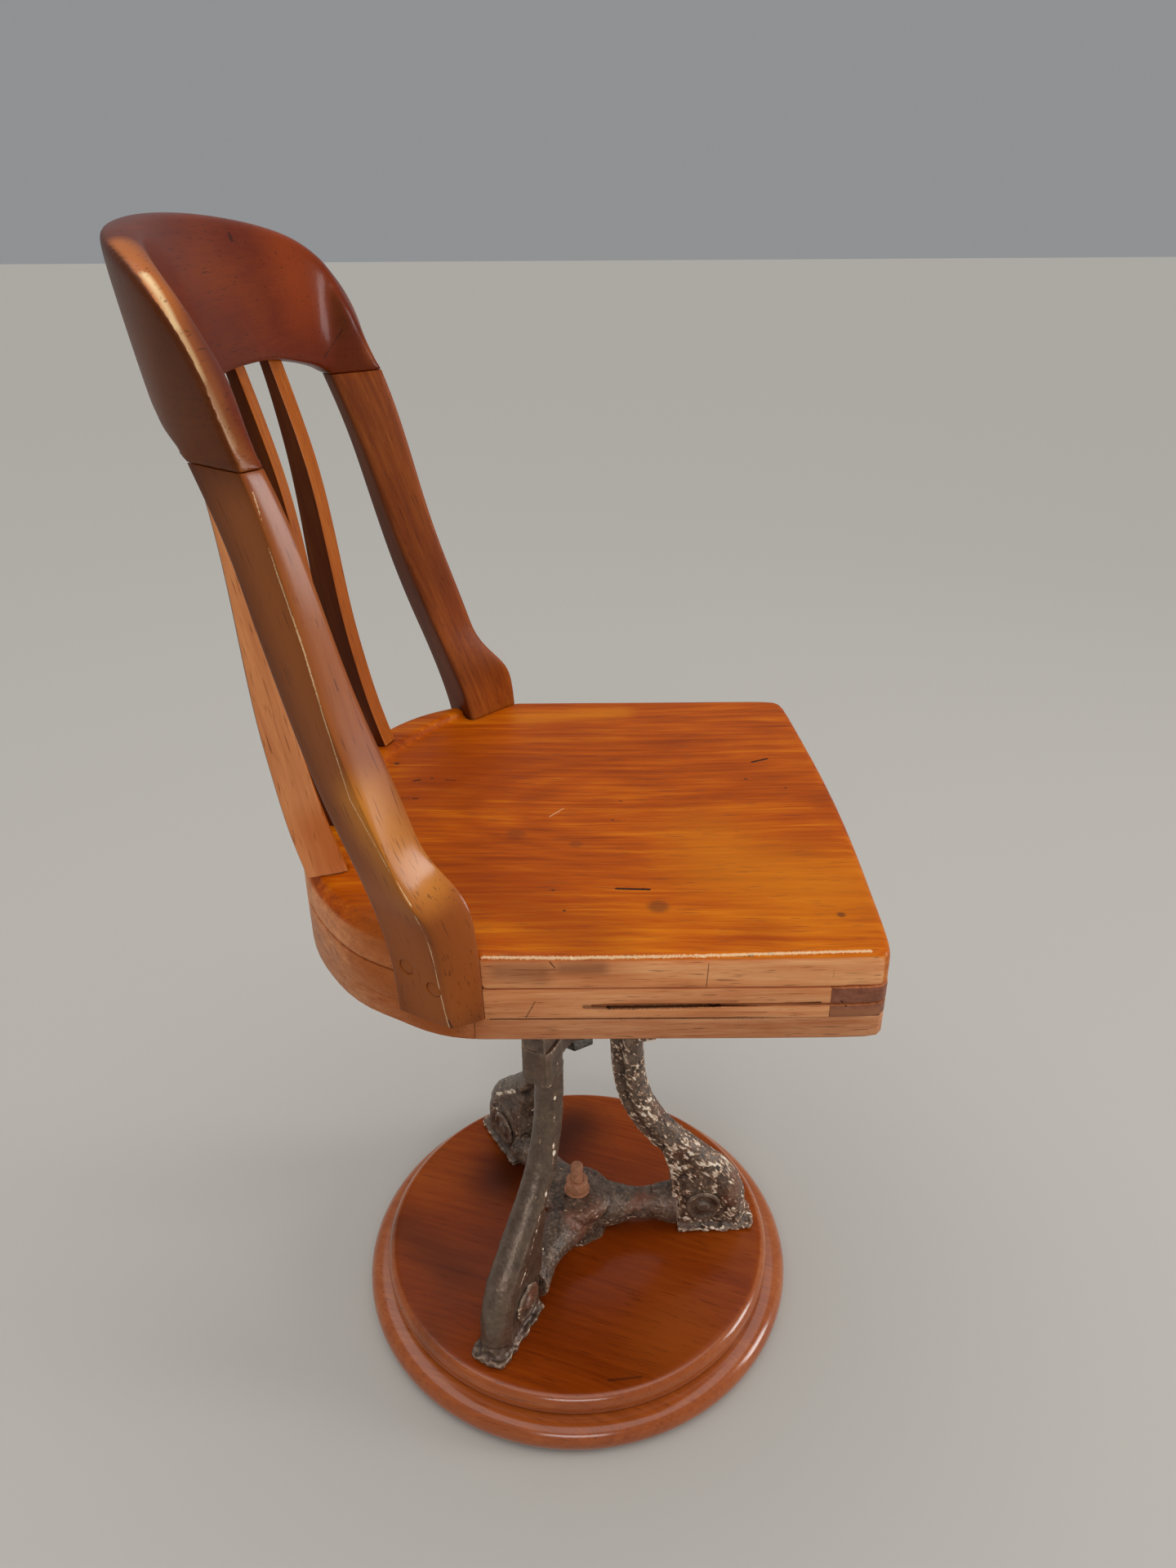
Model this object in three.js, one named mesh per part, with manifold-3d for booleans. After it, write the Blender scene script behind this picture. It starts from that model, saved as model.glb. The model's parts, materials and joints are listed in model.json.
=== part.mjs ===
// Swivel chair of the banker's pattern: a laminated wooden seat with a curved slatted back
// turns on a cast-iron tripod that stands on a turned wooden plinth.
// Units are millimetres and +Z is up. The origin is the middle of the plinth's underside,
// on the axis that the seat turns about. The sitter faces -Y, so +X is the sitter's left.
import * as THREE from 'three';
import { mergeVertices } from 'three/addons/utils/BufferGeometryUtils.js';
import Module from 'manifold-3d';

const wasm = await Module();
wasm.setup();

// Clearances
const fitGap = 0.3; // between pieces that rest on or in each other
const cutOverrun = 2; // how far a cutting body passes the surface that it opens
const sinkIn = 1; // how deep the bodies of one casting run into each other

// Plinth
const plinthRadius = 200;
const lowerDiscHeight = 26;
const upperDiscHeight = 20;
const upperDiscRadius = 182;

// Iron base
const legFirstAngle = -87.5; // degrees, the leg that stands below the seat's front
const legCount = 3;
const legReach = 170; // from the axis to the toe
const legBarDepth = 30;
const legBarHalfWidth = 12.5;
const legToeHalfWidth = 15;
const legFlankThickness = 26;
const footPlateThickness = 6;
const footPlateLength = 75;
const footPlateHeelHalfWidth = 19;
const footPlateToeHalfWidth = 18;
const footPlateToeRounding = 8;
const legBlockWidth = 28;
const legBlockDepth = 28;
const legBlockHeight = 36;
const legBlockSetBack = 2.2; // of the block's middle behind the outer crown of the bar
const legBlockChamfer = 3;

// Tie between the feet, and the stud that holds it down
const tieHubRadius = 33;
const tieHubHeight = 46;
const tieLobeHeight = 3;
const tieLobeCount = 6;
const tieArmRadius = 15;
const tieRootRadius = 21; // where an arm leaves the hub
const tieRootLength = 16;
const tieCollarRadius = 21;
const tieCollarLength = 24;
const tieArmHeight = 25; // of the arm's axis above the plinth
const tieTongueThickness = 9;
const tieTongueHeight = 30;
const tieBoltInset = 51; // from the toe to the bolt through leg and tongue
const tieBoltHeight = 33; // above the plinth
const tieBoltRadius = 4;
const tieTongueTip = 12; // beyond the bolt's axis
const rosetteRadius = 17;
const rosetteThickness = 4.5;
const studRadius = 5.9;
const studDepthInPlinth = 28;
const studTopAboveHub = 32;
const studChamfer = 1.3;
const studWasherRadius = 12.4;
const studWasherThickness = 2;
const studNutRadius = 11.6; // across the corners
const studNutHeight = 11;

// Upper spider and the swivel bearing
const spiderHubRadius = 25;
const spiderHubHeight = 56;
const spiderHubDrop = 26; // how far the hub hangs below the leg tops
const spiderHubChamfer = 3.5;
const spiderArmWidth = 18;
const spiderPadHeight = 18;
const spiderBoltRadius = 5;
const spiderBoltDepth = 22;
const spiderBoltHeadRadius = 9;
const spiderBoltHeadHeight = 6.5;
const bushWall = 3.5;
const bushFlangeRadius = 20;
const bushFlangeHeight = 3;
const raceOuterRadius = 23;
const raceHeight = 5;
const raceGrooveDepth = 1.6;
const ballRadius = 3.4;
const ballCount = 8;
const raceGrooveWidth = 6.1;
const cageRadius = 1.2;
const spindleRadius = 11;
const spindleCollarRadius = 23;
const spindleCollarHeight = 7;
const spindleTipLength = 3;
const spindleChamfer = 2;
const spindleNutRadius = 18;
const spindleNutHeight = 10;
const spindleWasherRadius = 20;
const spindleWasherThickness = 3;

// Iron plate under the seat
const underSeatRoom = 128; // from the leg tops to the seat's underside
const seatPlateThickness = 8;
const seatPlateArmLength = 125;
const seatPlateArmWidth = 34;
const seatPlateRingRadius = 52;
const seatPlateSocketRadius = 21;
const seatPlateSocketHeight = 42;
const spindlePinRadius = 3.5;
const plateScrewRadius = 2.6;
const plateScrewHeadRadius = 5.4;
const plateScrewHeadHeight = 3;
const plateScrewLength = 30;
const plateScrewInset = 14; // from an arm's end to its screw

// Seat
const seatHeight = 510; // underside of the plinth to the front of the seat's top
const seatHalfWidth = 200;
const seatFrontDepth = 207;
const seatFrontSkew = 10.6; // how far the front edge is out of square, over the width
const seatRearDepth = 204;
const topBoardThickness = 25;
const middleBoardThickness = 23;
const bottomBoardThickness = 18;
const crescentHeight = 6; // rise of the flat rear rim above the carved seat
const dishDepth = 4;
const dishRadius = 156;
const dishForward = 25; // from the axis to the dish's middle
const seatEdgeRounding = 6;
const frontRailDepth = 41;
const sideRailWidth = 62;
const openJointHeight = 4.5; // mouth of the open glue line in the right side
const openJointDepth = 13;
const openJointRear = 14; // in front of the axis
const openJointNose = 14; // length of the rounded rear end
const bottomJointDepth = 61; // from the axis to where the bottom layer's rear piece starts

// Back
const backHeight = 924; // underside of the plinth to the top of the crest
const crestHeight = 118; // from the joint with the posts to the top of the crest
const postRearDepth = 196; // from the axis to a post's rearmost arris at its top
const postEdgeRounding = 3;
const postPlugRadius = 5.5;
const postPlugThickness = 4;
const postScrewRadius = 2.8;
const postScrewHeadRadius = 4.6;
const postScrewLength = 38;
const crestHalfSpan = 203;
const crestDepth = 264; // from the axis to the crest's rearmost edge
const crestTopRounding = 9;
const crestUnderRounding = 4;
const crestEndRounding = 2.5;
const crestDowelRadius = 4;
const crestDowelLength = 30;
const slatThickness = 17;
const slatFootDepth = 28;
const slatSweep = 60; // how far a slat's front leans back from foot to head
const slatEdgeRounding = 2;
const slatTenonLength = 10;
const slatTenonShoulder = 2.2;
const outerSlatOffset = 99; // from the chair's middle to the outer slats
const outerSlatFrontDepth = 155.7;
const outerSlatTurn = 19; // degrees that an outer slat faces towards the middle
const innerSlatOffset = 33;
const innerSlatFrontDepth = 161.5;
const innerSlatTurn = 6;

// Levels and distances that follow from the sizes above
const plinthTop = lowerDiscHeight + upperDiscHeight;
const legFoot = plinthTop + fitGap;
const seatBottom = seatHeight - topBoardThickness - middleBoardThickness - bottomBoardThickness;
const legTop = seatBottom - underSeatRoom;
const legRise = legTop - plinthTop;
const footPlateInnerRadius = legReach - footPlateLength;
const tieBoltReach = legReach - tieBoltInset;
const tieTongueReach = tieBoltReach + tieTongueTip;
const hubBottom = legTop - spiderHubDrop;
const hubTop = hubBottom + spiderHubHeight;
const spiderPadTop = legTop + spiderPadHeight;
const flangeTop = hubTop + fitGap + bushFlangeHeight;
const lowerRaceTop = flangeTop + fitGap + raceHeight;
const ballSpace = 2 * (ballRadius - raceGrooveDepth + fitGap);
const upperRaceBottom = lowerRaceTop + ballSpace;
const collarBottom = upperRaceBottom + raceHeight + fitGap;
const collarTop = collarBottom + spindleCollarHeight;
const bottomBoardTop = seatBottom + bottomBoardThickness;
const middleBoardTop = bottomBoardTop + middleBoardThickness;
const crescentTop = seatHeight + crescentHeight;
const plateTop = seatBottom - fitGap;
const plateBottom = plateTop - seatPlateThickness;
const socketBottom = plateTop - seatPlateSocketHeight;
const jointHeight = backHeight - crestHeight;

// Outline of half the seat, from the middle of the front to the middle of the rear. Each
// point is a share of seatHalfWidth and of seatFrontDepth (in front) or seatRearDepth.
const seatOutlineShares = [
  [0, -1], [0.3, -0.994], [0.465, -0.987], [0.65, -0.979], [0.82, -0.971], [0.93, -0.963],
  [0.968, -0.954], [0.989, -0.936], [1, -0.9], [1, -0.3], [1, 0.265], [0.992, 0.37],
  [0.958, 0.47], [0.9, 0.555], [0.845, 0.66], [0.757, 0.752], [0.66, 0.82], [0.55, 0.888],
  [0.425, 0.935], [0.3, 0.968], [0.15, 0.992], [0, 1],
];

// Front edge of the flat rear rim, as shares of seatHalfWidth and seatRearDepth.
const crescentShares = [
  [1.1, 0.36], [0.97, 0.37], [0.905, 0.41], [0.85, 0.475], [0.745, 0.575], [0.615, 0.66],
  [0.5, 0.725], [0.405, 0.76], [0.25, 0.778], [0, 0.782],
];

// Arrises of the left post from its foot to the joint with the crest rail. Each point is a
// share of seatHalfWidth, of postRearDepth and of the height from the bottom board up.
const postOuterFrontShares = [
  [1.05, 0.378, 0], [1.07, 0.418, 0.221], [1.07, 0.485, 0.285], [1.06, 0.52, 0.343],
  [1.05, 0.556, 0.401], [1.04, 0.592, 0.459], [1.03, 0.622, 0.517], [1.025, 0.653, 0.576],
  [1.01, 0.699, 0.692], [1, 0.735, 0.808], [0.995, 0.776, 0.924], [0.995, 0.816, 1],
];
const postInnerFrontShares = [
  [1, 0.27, 0], [0.995, 0.281, 0.166], [0.98, 0.298, 0.235], [0.96, 0.332, 0.27],
  [0.945, 0.383, 0.302], [0.935, 0.439, 0.343], [0.93, 0.469, 0.401], [0.92, 0.531, 0.517],
  [0.92, 0.566, 0.576], [0.92, 0.622, 0.692], [0.92, 0.668, 0.808], [0.925, 0.719, 0.924],
  [0.93, 0.765, 1],
];
const postInnerRearShares = [
  [0.79, 0.439, 0], [0.8, 0.48, 0.169], [0.8, 0.546, 0.285], [0.8, 0.617, 0.401],
  [0.8, 0.689, 0.517], [0.795, 0.781, 0.692], [0.79, 0.832, 0.808], [0.785, 0.898, 0.924],
  [0.785, 0.949, 1],
];
const postOuterRearShares = [
  [0.95, 0.566, 0], [0.945, 0.577, 0.11], [0.935, 0.622, 0.227], [0.93, 0.684, 0.343],
  [0.925, 0.719, 0.401], [0.91, 0.781, 0.517], [0.895, 0.832, 0.634], [0.885, 0.878, 0.75],
  [0.865, 0.923, 0.866], [0.86, 0.954, 0.924], [0.85, 1, 1],
];

// Levels of a post's sections, closest where the foot draws in to the shaft.
const postLevelShares = [
  0, 0.06, 0.12, 0.17, 0.21, 0.24, 0.265, 0.29, 0.32, 0.36, 0.41, 0.47, 0.54, 0.61, 0.69,
  0.77, 0.85, 0.93, 1,
];

// Plugs in a post's outer face: how far below the seat's top, as a share of
// topBoardThickness, and how far across the face from its front arris.
const postPlugShares = [[0.753, 0.22], [0.354, 0.68]];

// Arrises of the crest rail's left half, from the joint to the middle: shares of
// crestHalfSpan, crestDepth and the height from the joint to the crest's top.
const crestOuterTopShares = [
  [0.98, 0.606, 0], [0.99, 0.625, 0.176], [0.995, 0.64, 0.346], [0.975, 0.682, 0.558],
  [0.921, 0.746, 0.728], [0.828, 0.811, 0.83], [0.69, 0.879, 0.89], [0.493, 0.939, 0.932],
  [0.246, 0.985, 0.957], [0, 1, 0.966],
];
const crestInnerTopShares = [
  [0.916, 0.568, 0], [0.877, 0.598, 0.167], [0.837, 0.625, 0.346], [0.828, 0.659, 0.507],
  [0.828, 0.693, 0.669], [0.764, 0.746, 0.805], [0.631, 0.803, 0.89], [0.453, 0.848, 0.941],
  [0.227, 0.883, 0.975], [0, 0.894, 0.983],
];
const crestInnerUnderShares = [
  [0.773, 0.705, 0], [0.768, 0.708, 0.01], [0.759, 0.712, 0.023], [0.739, 0.718, 0.04],
  [0.704, 0.723, 0.061], [0.65, 0.735, 0.087], [0.576, 0.752, 0.116], [0.443, 0.78, 0.163],
  [0.222, 0.805, 0.184], [0, 0.811, 0.193],
];
const crestOuterUnderShares = [
  [0.837, 0.742, 0], [0.833, 0.748, 0.006], [0.823, 0.754, 0.014], [0.798, 0.769, 0.04],
  [0.764, 0.788, 0.065], [0.714, 0.811, 0.091], [0.64, 0.837, 0.116], [0.493, 0.886, 0.15],
  [0.246, 0.917, 0.167], [0, 0.924, 0.176],
];

// Stations up a slat: share of its height, share of slatSweep, and share of slatFootDepth.
const slatStationShares = [
  [0, 0, 1], [0.109, 0.167, 0.95], [0.228, 0.292, 0.86], [0.353, 0.408, 0.8],
  [0.494, 0.483, 0.73], [0.628, 0.558, 0.64], [0.712, 0.625, 0.57], [0.775, 0.692, 0.5],
  [0.853, 0.792, 0.41], [0.938, 0.908, 0.32], [1, 1, 0.3],
];
const slatTenonDepthShare = 0.7; // of the slat's own depth
const slatHeadShare = 0.25; // where a slat ends, of the height from the joint to the crest's top

// Outer line of a leg: shares of legReach and legRise, from the top to the toe.
const legLineShares = [
  [0.354, 1], [0.355, 0.92], [0.359, 0.841], [0.365, 0.744], [0.388, 0.644], [0.429, 0.578],
  [0.488, 0.507], [0.571, 0.448], [0.659, 0.389], [0.759, 0.33], [0.847, 0.281],
  [0.912, 0.219], [0.947, 0.156], [0.953, 0.067], [0.976, 0.005],
];

// Section of a leg's bar: shares of its half width and of its depth from the outer crown.
const legSectionShares = [
  [0, 0], [0.42, 0.05], [0.78, 0.19], [0.98, 0.4], [1, 0.56], [0.9, 0.64],
  [0.46, 0.68], [0.42, 1],
];

// Flank between a leg's bar and its foot plate: shares of legReach and legRise.
const legFlankShares = [
  [0.56, 0.012], [0.53, 0.1], [0.52, 0.25], [0.5, 0.31], [0.46, 0.36], [0.5, 0.44],
  [0.68, 0.34], [0.84, 0.24], [0.9, 0.12], [0.9, 0.012],
];

// Edge of the plinth's upper disc: shares of upperDiscRadius and upperDiscHeight.
const upperDiscEdgeShares = [
  [0.984, 0], [0.994, 0.12], [1, 0.34], [1, 0.5], [0.995, 0.69], [0.981, 0.86],
  [0.958, 0.97], [0.935, 1],
];

// Profile of a rosette: shares of rosetteRadius and rosetteThickness.
const rosetteShares = [
  [0, 0], [1, 0], [1, 0.45], [0.86, 0.7], [0.66, 0.4], [0.42, 0.4], [0.29, 0.85], [0, 1],
];
const rosetteBoreShare = 0.6; // depth of a rosette nut's blind bore

// Rounding of the seat's top edge: how far in and how far below the carved top, as shares of
// seatEdgeRounding.
const seatEdgeShares = [[0, 1], [0.1, 0.6], [0.4, 0.15], [1, -0.4], [1.2, -1]];
const seatUnderEdgeShare = 0.3; // easing of the seat's lower edge, of seatEdgeRounding
const openJointLevelShare = 0.45; // of middleBoardThickness
const openJointTaperShare = 0.4; // of openJointHeight, left at the front corner
const nutCrownShares = [[1.04, 0.75], [0.84, 1]]; // of a nut's corner radius and its height

// Profile of the tie's hub: shares of tieHubRadius and tieHubHeight.
const tieHubShares = [
  [0.81, 0], [0.83, 0.12], [0.82, 0.28], [0.8, 0.45], [0.85, 0.6], [0.95, 0.7], [1, 0.79],
  [1, 0.89], [0.95, 0.97], [0.85, 1],
];

const smoothSteps = 48; // facets round the plinth
const roundSteps = 16; // facets round small turned pieces
const noseSteps = 6; // steps round the plinth's bull-nosed edge
const cornerSteps = 2; // steps round an eased corner
const legSteps = 15; // sections down a leg
const crestSteps = 36; // sections along the crest rail
const dishSteps = 6; // rings of the seat's dish
const dishFacets = 24; // facets round the seat's dish
const tipSteps = 6; // steps round a plate arm's end
const lobeRows = 3; // rows of the tie's hub over which the lobes die out
const lobeSteps = 4; // facets round each lobe of the tie's hub
const degree = Math.PI / 180;

// Materials
function finish(color, roughness, metalness) {
  return new THREE.MeshStandardMaterial({ color, roughness, metalness });
}
const amberWood = finish(0xa9581c, 0.35, 0);
const brownWood = finish(0x8a4a22, 0.35, 0);
const redWood = finish(0x7c3a18, 0.35, 0);
const paleWood = finish(0xa8683f, 0.45, 0);
const plinthWood = finish(0x7a3512, 0.35, 0);
const castIron = finish(0x3b332e, 0.6, 0.7);
const rustySteel = finish(0x7a4a36, 0.7, 0.6);
const bareSteel = finish(0x8b8780, 0.4, 0.9);
const bronze = finish(0x9a7440, 0.4, 0.9);

// Boolean work
function toSolid(geometry) {
  const bare = geometry.clone();
  bare.deleteAttribute('normal');
  bare.deleteAttribute('uv');
  const merged = mergeVertices(bare, 1e-4);
  const mesh = new wasm.Mesh({
    numProp: 3,
    vertProperties: new Float32Array(merged.attributes.position.array),
    triVerts: new Uint32Array(merged.index.array),
  });
  return new wasm.Manifold(mesh);
}

function fromSolid(solid) {
  const mesh = solid.getMesh();
  const geometry = new THREE.BufferGeometry();
  geometry.setAttribute('position', new THREE.BufferAttribute(mesh.vertProperties, 3));
  geometry.setIndex(new THREE.BufferAttribute(mesh.triVerts, 1));
  geometry.computeVertexNormals();
  return geometry;
}

function join(...geometries) {
  const solids = geometries.map(toSolid);
  return fromSolid(solids.reduce((sum, next) => sum.add(next)));
}

function cut(base, ...tools) {
  const solids = tools.map(toSolid);
  return fromSolid(solids.reduce((rest, next) => rest.subtract(next), toSolid(base)));
}

function common(first, second) {
  return fromSolid(toSolid(first).intersect(toSolid(second)));
}

// Basic bodies
function turned(points, steps = roundSteps) {
  const profile = points.map(([radius, z]) => new THREE.Vector2(radius, z));
  return new THREE.LatheGeometry(profile, steps).rotateX(Math.PI / 2);
}

function rod(radius, bottom, top, steps = roundSteps) {
  return turned([[0, bottom], [radius, bottom], [radius, top], [0, top]], steps);
}

function chamferedRod(radius, chamfer, bottom, top) {
  return turned([
    [0, bottom], [radius - chamfer, bottom], [radius, bottom + chamfer], [radius, top - chamfer],
    [radius - chamfer, top], [0, top],
  ]);
}

function ring(inner, outer, bottom, top, steps = roundSteps) {
  const corners = [[inner, bottom], [outer, bottom], [outer, top], [inner, top], [inner, bottom]];
  return turned(corners, steps);
}

function box(width, depth, height, x, y, z) {
  return new THREE.BoxGeometry(width, depth, height).translate(x, y, z);
}

function prism(points, bottom, top) {
  const shape = new THREE.Shape(points.map(([x, y]) => new THREE.Vector2(x, y)));
  const body = new THREE.ExtrudeGeometry(shape, { depth: top - bottom, bevelEnabled: false });
  return body.translate(0, 0, bottom);
}

function polygon(radius, count, phase = 0) {
  const points = [];
  for (let i = 0; i < count; i += 1) {
    const angle = phase + (2 * Math.PI * i) / count;
    points.push([radius * Math.cos(angle), radius * Math.sin(angle)]);
  }
  return points;
}

function signedVolume(position, index) {
  const a = new THREE.Vector3();
  const b = new THREE.Vector3();
  const c = new THREE.Vector3();
  let sum = 0;
  for (let i = 0; i < index.length; i += 3) {
    a.fromArray(position, 3 * index[i]);
    b.fromArray(position, 3 * index[i + 1]);
    c.fromArray(position, 3 * index[i + 2]);
    sum += a.dot(b.cross(c));
  }
  return sum;
}

// Closed body through a run of rings that have equally many points, with flat fans at both ends
function loft(rings) {
  const count = rings[0].length;
  const position = [];
  rings.flat().forEach((point) => position.push(point.x, point.y, point.z));
  const index = [];
  for (let row = 0; row + 1 < rings.length; row += 1) {
    for (let i = 0; i < count; i += 1) {
      const next = (i + 1) % count;
      const low = row * count;
      const high = low + count;
      index.push(low + i, low + next, high + next, low + i, high + next, high + i);
    }
  }
  [0, rings.length - 1].forEach((row) => {
    const middle = new THREE.Vector3();
    rings[row].forEach((point) => middle.addScaledVector(point, 1 / count));
    const hub = position.length / 3;
    position.push(middle.x, middle.y, middle.z);
    for (let i = 0; i < count; i += 1) {
      const next = (i + 1) % count;
      const edge = row === 0 ? [next, i] : [i, next];
      index.push(row * count + edge[0], row * count + edge[1], hub);
    }
  });
  if (signedVolume(position, index) < 0) {
    index.reverse();
  }
  const geometry = new THREE.BufferGeometry();
  geometry.setAttribute('position', new THREE.Float32BufferAttribute(position, 3));
  geometry.setIndex(index);
  geometry.computeVertexNormals();
  return geometry;
}

// Ring through four corners, each eased by its own radius
function easedRing(corners, radii) {
  const points = [];
  corners.forEach((corner, i) => {
    const before = corners[(i + 3) % 4];
    const after = corners[(i + 1) % 4];
    const reach = (to) => Math.min(radii[i] / corner.distanceTo(to), 0.45);
    const start = corner.clone().lerp(before, reach(before));
    const end = corner.clone().lerp(after, reach(after));
    const bend = new THREE.QuadraticBezierCurve3(start, corner, end);
    points.push(...bend.getPoints(cornerSteps));
  });
  return points;
}

// Level ring whose sides have all moved outwards by the same distance
function grown(corners, distance) {
  const middle = vector(0, 0, 0);
  corners.forEach((corner) => middle.addScaledVector(corner, 1 / corners.length));
  const outward = (from, to) => {
    const side = to.clone().sub(from);
    const normal = vector(side.y, -side.x, 0).normalize();
    return normal.dot(from.clone().sub(middle)) < 0 ? normal.negate() : normal;
  };
  return corners.map((corner, i) => {
    const before = outward(corners[(i + 3) % 4], corner);
    const after = outward(corner, corners[(i + 1) % 4]);
    const share = distance / (1 + before.dot(after));
    return corner.clone().add(before.add(after).multiplyScalar(share));
  });
}

// Point at a given height on a line that rises from point to point
function atHeight(line, z) {
  const found = line.findIndex((point, i) => i > 0 && point.z >= z);
  const i = found < 0 ? line.length - 1 : found;
  const low = line[i - 1];
  const high = line[i];
  return low.clone().lerp(high, (z - low.z) / (high.z - low.z));
}

// Smooth curve through points, sampled in even steps of its parameter
function sampled(points, steps) {
  return new THREE.CatmullRomCurve3(points, false, 'centripetal').getPoints(steps);
}

function vector(x, y, z) {
  return new THREE.Vector3(x, y, z);
}

const group = new THREE.Group();

function addPiece(name, geometry, material) {
  const mesh = new THREE.Mesh(geometry, material);
  mesh.name = name;
  group.add(mesh);
}

function legAngles() {
  return Array.from({ length: legCount }, (_, i) => legFirstAngle + (360 * i) / legCount);
}

function aroundLegs(geometry) {
  return legAngles().map((angle) => geometry.clone().rotateZ(angle * degree));
}

// Plinth: two turned discs, the lower with a bull-nosed edge
function halfRound(radius, bottom, top, steps) {
  const nose = (top - bottom) / 2;
  const points = [];
  for (let i = 0; i <= steps; i += 1) {
    const angle = -Math.PI / 2 + (Math.PI * i) / steps;
    points.push([radius - nose + nose * Math.cos(angle), bottom + nose + nose * Math.sin(angle)]);
  }
  return points;
}

function plinthLowerDisc() {
  const edge = halfRound(plinthRadius, 0, lowerDiscHeight, noseSteps);
  const disc = turned([[0, 0], ...edge, [0, lowerDiscHeight]], smoothSteps);
  const bore = rod(studRadius + fitGap, plinthTop - studDepthInPlinth - fitGap, plinthTop);
  return cut(disc, bore);
}

function plinthUpperDisc() {
  const bottom = lowerDiscHeight + fitGap;
  const edge = upperDiscEdgeShares.map(([radius, height]) => [
    radius * upperDiscRadius, bottom + height * (upperDiscHeight - fitGap),
  ]);
  const bore = rod(studRadius + fitGap, bottom - cutOverrun, plinthTop + cutOverrun);
  return cut(turned([[0, bottom], ...edge, [0, plinthTop]], smoothSteps), bore);
}

// Legs: a half-round bar with a rib inside, running down to a broad foot
function legBar() {
  const line = legLineShares.map(([reach, rise]) => vector(reach * legReach, 0, rise * legRise));
  const places = sampled(line, legSteps);
  const rings = places.map((place, i) => {
    const before = places[Math.max(i - 1, 0)];
    const after = places[Math.min(i + 1, places.length - 1)];
    const along = after.clone().sub(before).normalize();
    const inward = vector(along.z, 0, -along.x);
    const share = i / (places.length - 1);
    const half = THREE.MathUtils.lerp(legBarHalfWidth, legToeHalfWidth, share);
    const side = (sign) => ([across, depth]) => place.clone()
      .addScaledVector(inward, depth * legBarDepth)
      .add(vector(0, sign * across * half, 0));
    const right = legSectionShares.map(side(1));
    const left = legSectionShares.slice(1).reverse().map(side(-1));
    return [...right, ...left];
  });
  return loft(rings).translate(0, 0, plinthTop);
}

function uprightPlate(shares, thickness) {
  const outline = shares.map(([reach, rise]) => [reach * legReach, rise * legRise]);
  const plate = prism(outline, -thickness / 2, thickness / 2);
  return plate.rotateX(Math.PI / 2).translate(0, 0, plinthTop);
}

function footPlate() {
  const corners = [
    vector(footPlateInnerRadius, -footPlateHeelHalfWidth, 0),
    vector(legReach, -footPlateToeHalfWidth, 0), vector(legReach, footPlateToeHalfWidth, 0),
    vector(footPlateInnerRadius, footPlateHeelHalfWidth, 0),
  ];
  const toe = footPlateToeRounding;
  const outline = easedRing(corners, [toe / 4, toe, toe, toe / 4]).map(({ x, y }) => [x, y]);
  return prism(outline, legFoot, legFoot + footPlateThickness);
}

const [[legTopShare]] = legLineShares;
const legBlockRadius = legTopShare * legReach - legBlockSetBack;

function legBlock() {
  const halfDepth = legBlockDepth / 2;
  const halfWidth = legBlockWidth / 2;
  const easedDepth = halfDepth - legBlockChamfer;
  const easedWidth = halfWidth - legBlockChamfer;
  const outline = [
    [halfDepth, -easedWidth], [halfDepth, easedWidth], [easedDepth, halfWidth],
    [-easedDepth, halfWidth], [-halfDepth, easedWidth], [-halfDepth, -easedWidth],
    [-easedDepth, -halfWidth], [easedDepth, -halfWidth],
  ];
  return prism(outline, legTop - legBlockHeight, legTop).translate(legBlockRadius, 0, 0);
}

function crossRod(radius, from, to, reach, z) {
  return rod(radius, from, to).rotateX(Math.PI / 2).translate(reach, 0, z);
}

const tieBoltLevel = plinthTop + tieBoltHeight;
const tieArmLevel = plinthTop + tieArmHeight;
const flankFace = legFlankThickness / 2;

function tieTongue(clearance) {
  const start = footPlateInnerRadius - tieCollarLength;
  const length = tieTongueReach - start + clearance;
  const height = tieTongueHeight + 2 * clearance;
  const thickness = tieTongueThickness + 2 * clearance;
  const level = (tieBoltLevel + tieArmLevel) / 2;
  return box(length, thickness, height, start + length / 2, 0, level);
}

// Room for the rosette heads and nuts beside the flank, where a lower leg's bar would reach them
function rosetteSpace(side) {
  const start = side * (flankFace + fitGap / 2);
  const end = side * (flankFace + rosetteThickness + legFlankThickness);
  return crossRod(
    rosetteRadius + fitGap, Math.min(start, end), Math.max(start, end), tieBoltReach, tieBoltLevel,
  );
}

function leg() {
  const floor = box(2 * legReach, 2 * legReach, legRise, legReach, 0, legFoot - legRise / 2);
  const sky = box(2 * legReach, legReach, legRise, legReach, 0, legTop + legRise / 2);
  const body = join(legBar(), uprightPlate(legFlankShares, legFlankThickness), footPlate());
  const side = flankFace + cutOverrun;
  const tieHole = crossRod(tieBoltRadius + fitGap, -side, side, tieBoltReach, tieBoltLevel);
  const topHole = rod(
    spiderBoltRadius + fitGap, legTop - spiderBoltDepth - fitGap, legTop + cutOverrun,
  ).translate(legBlockRadius, 0, 0);
  const rosetteSpaces = [rosetteSpace(1), rosetteSpace(-1)];
  const tieSpaces = [tieTongue(fitGap), tieCollar(fitGap), tieHole, ...rosetteSpaces];
  const spiderSpace = spiderWeb(2 * legBlockWidth, fitGap);
  return cut(join(body, legBlock()), floor, sky, topHole, spiderSpace, ...tieSpaces);
}

// Mirror image across the plane x = 0, with its faces turned out again
function mirroredX(geometry) {
  const copy = geometry.clone().scale(-1, 1, 1);
  copy.setIndex(Array.from(copy.index.array).reverse());
  copy.computeVertexNormals();
  return copy;
}

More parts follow.
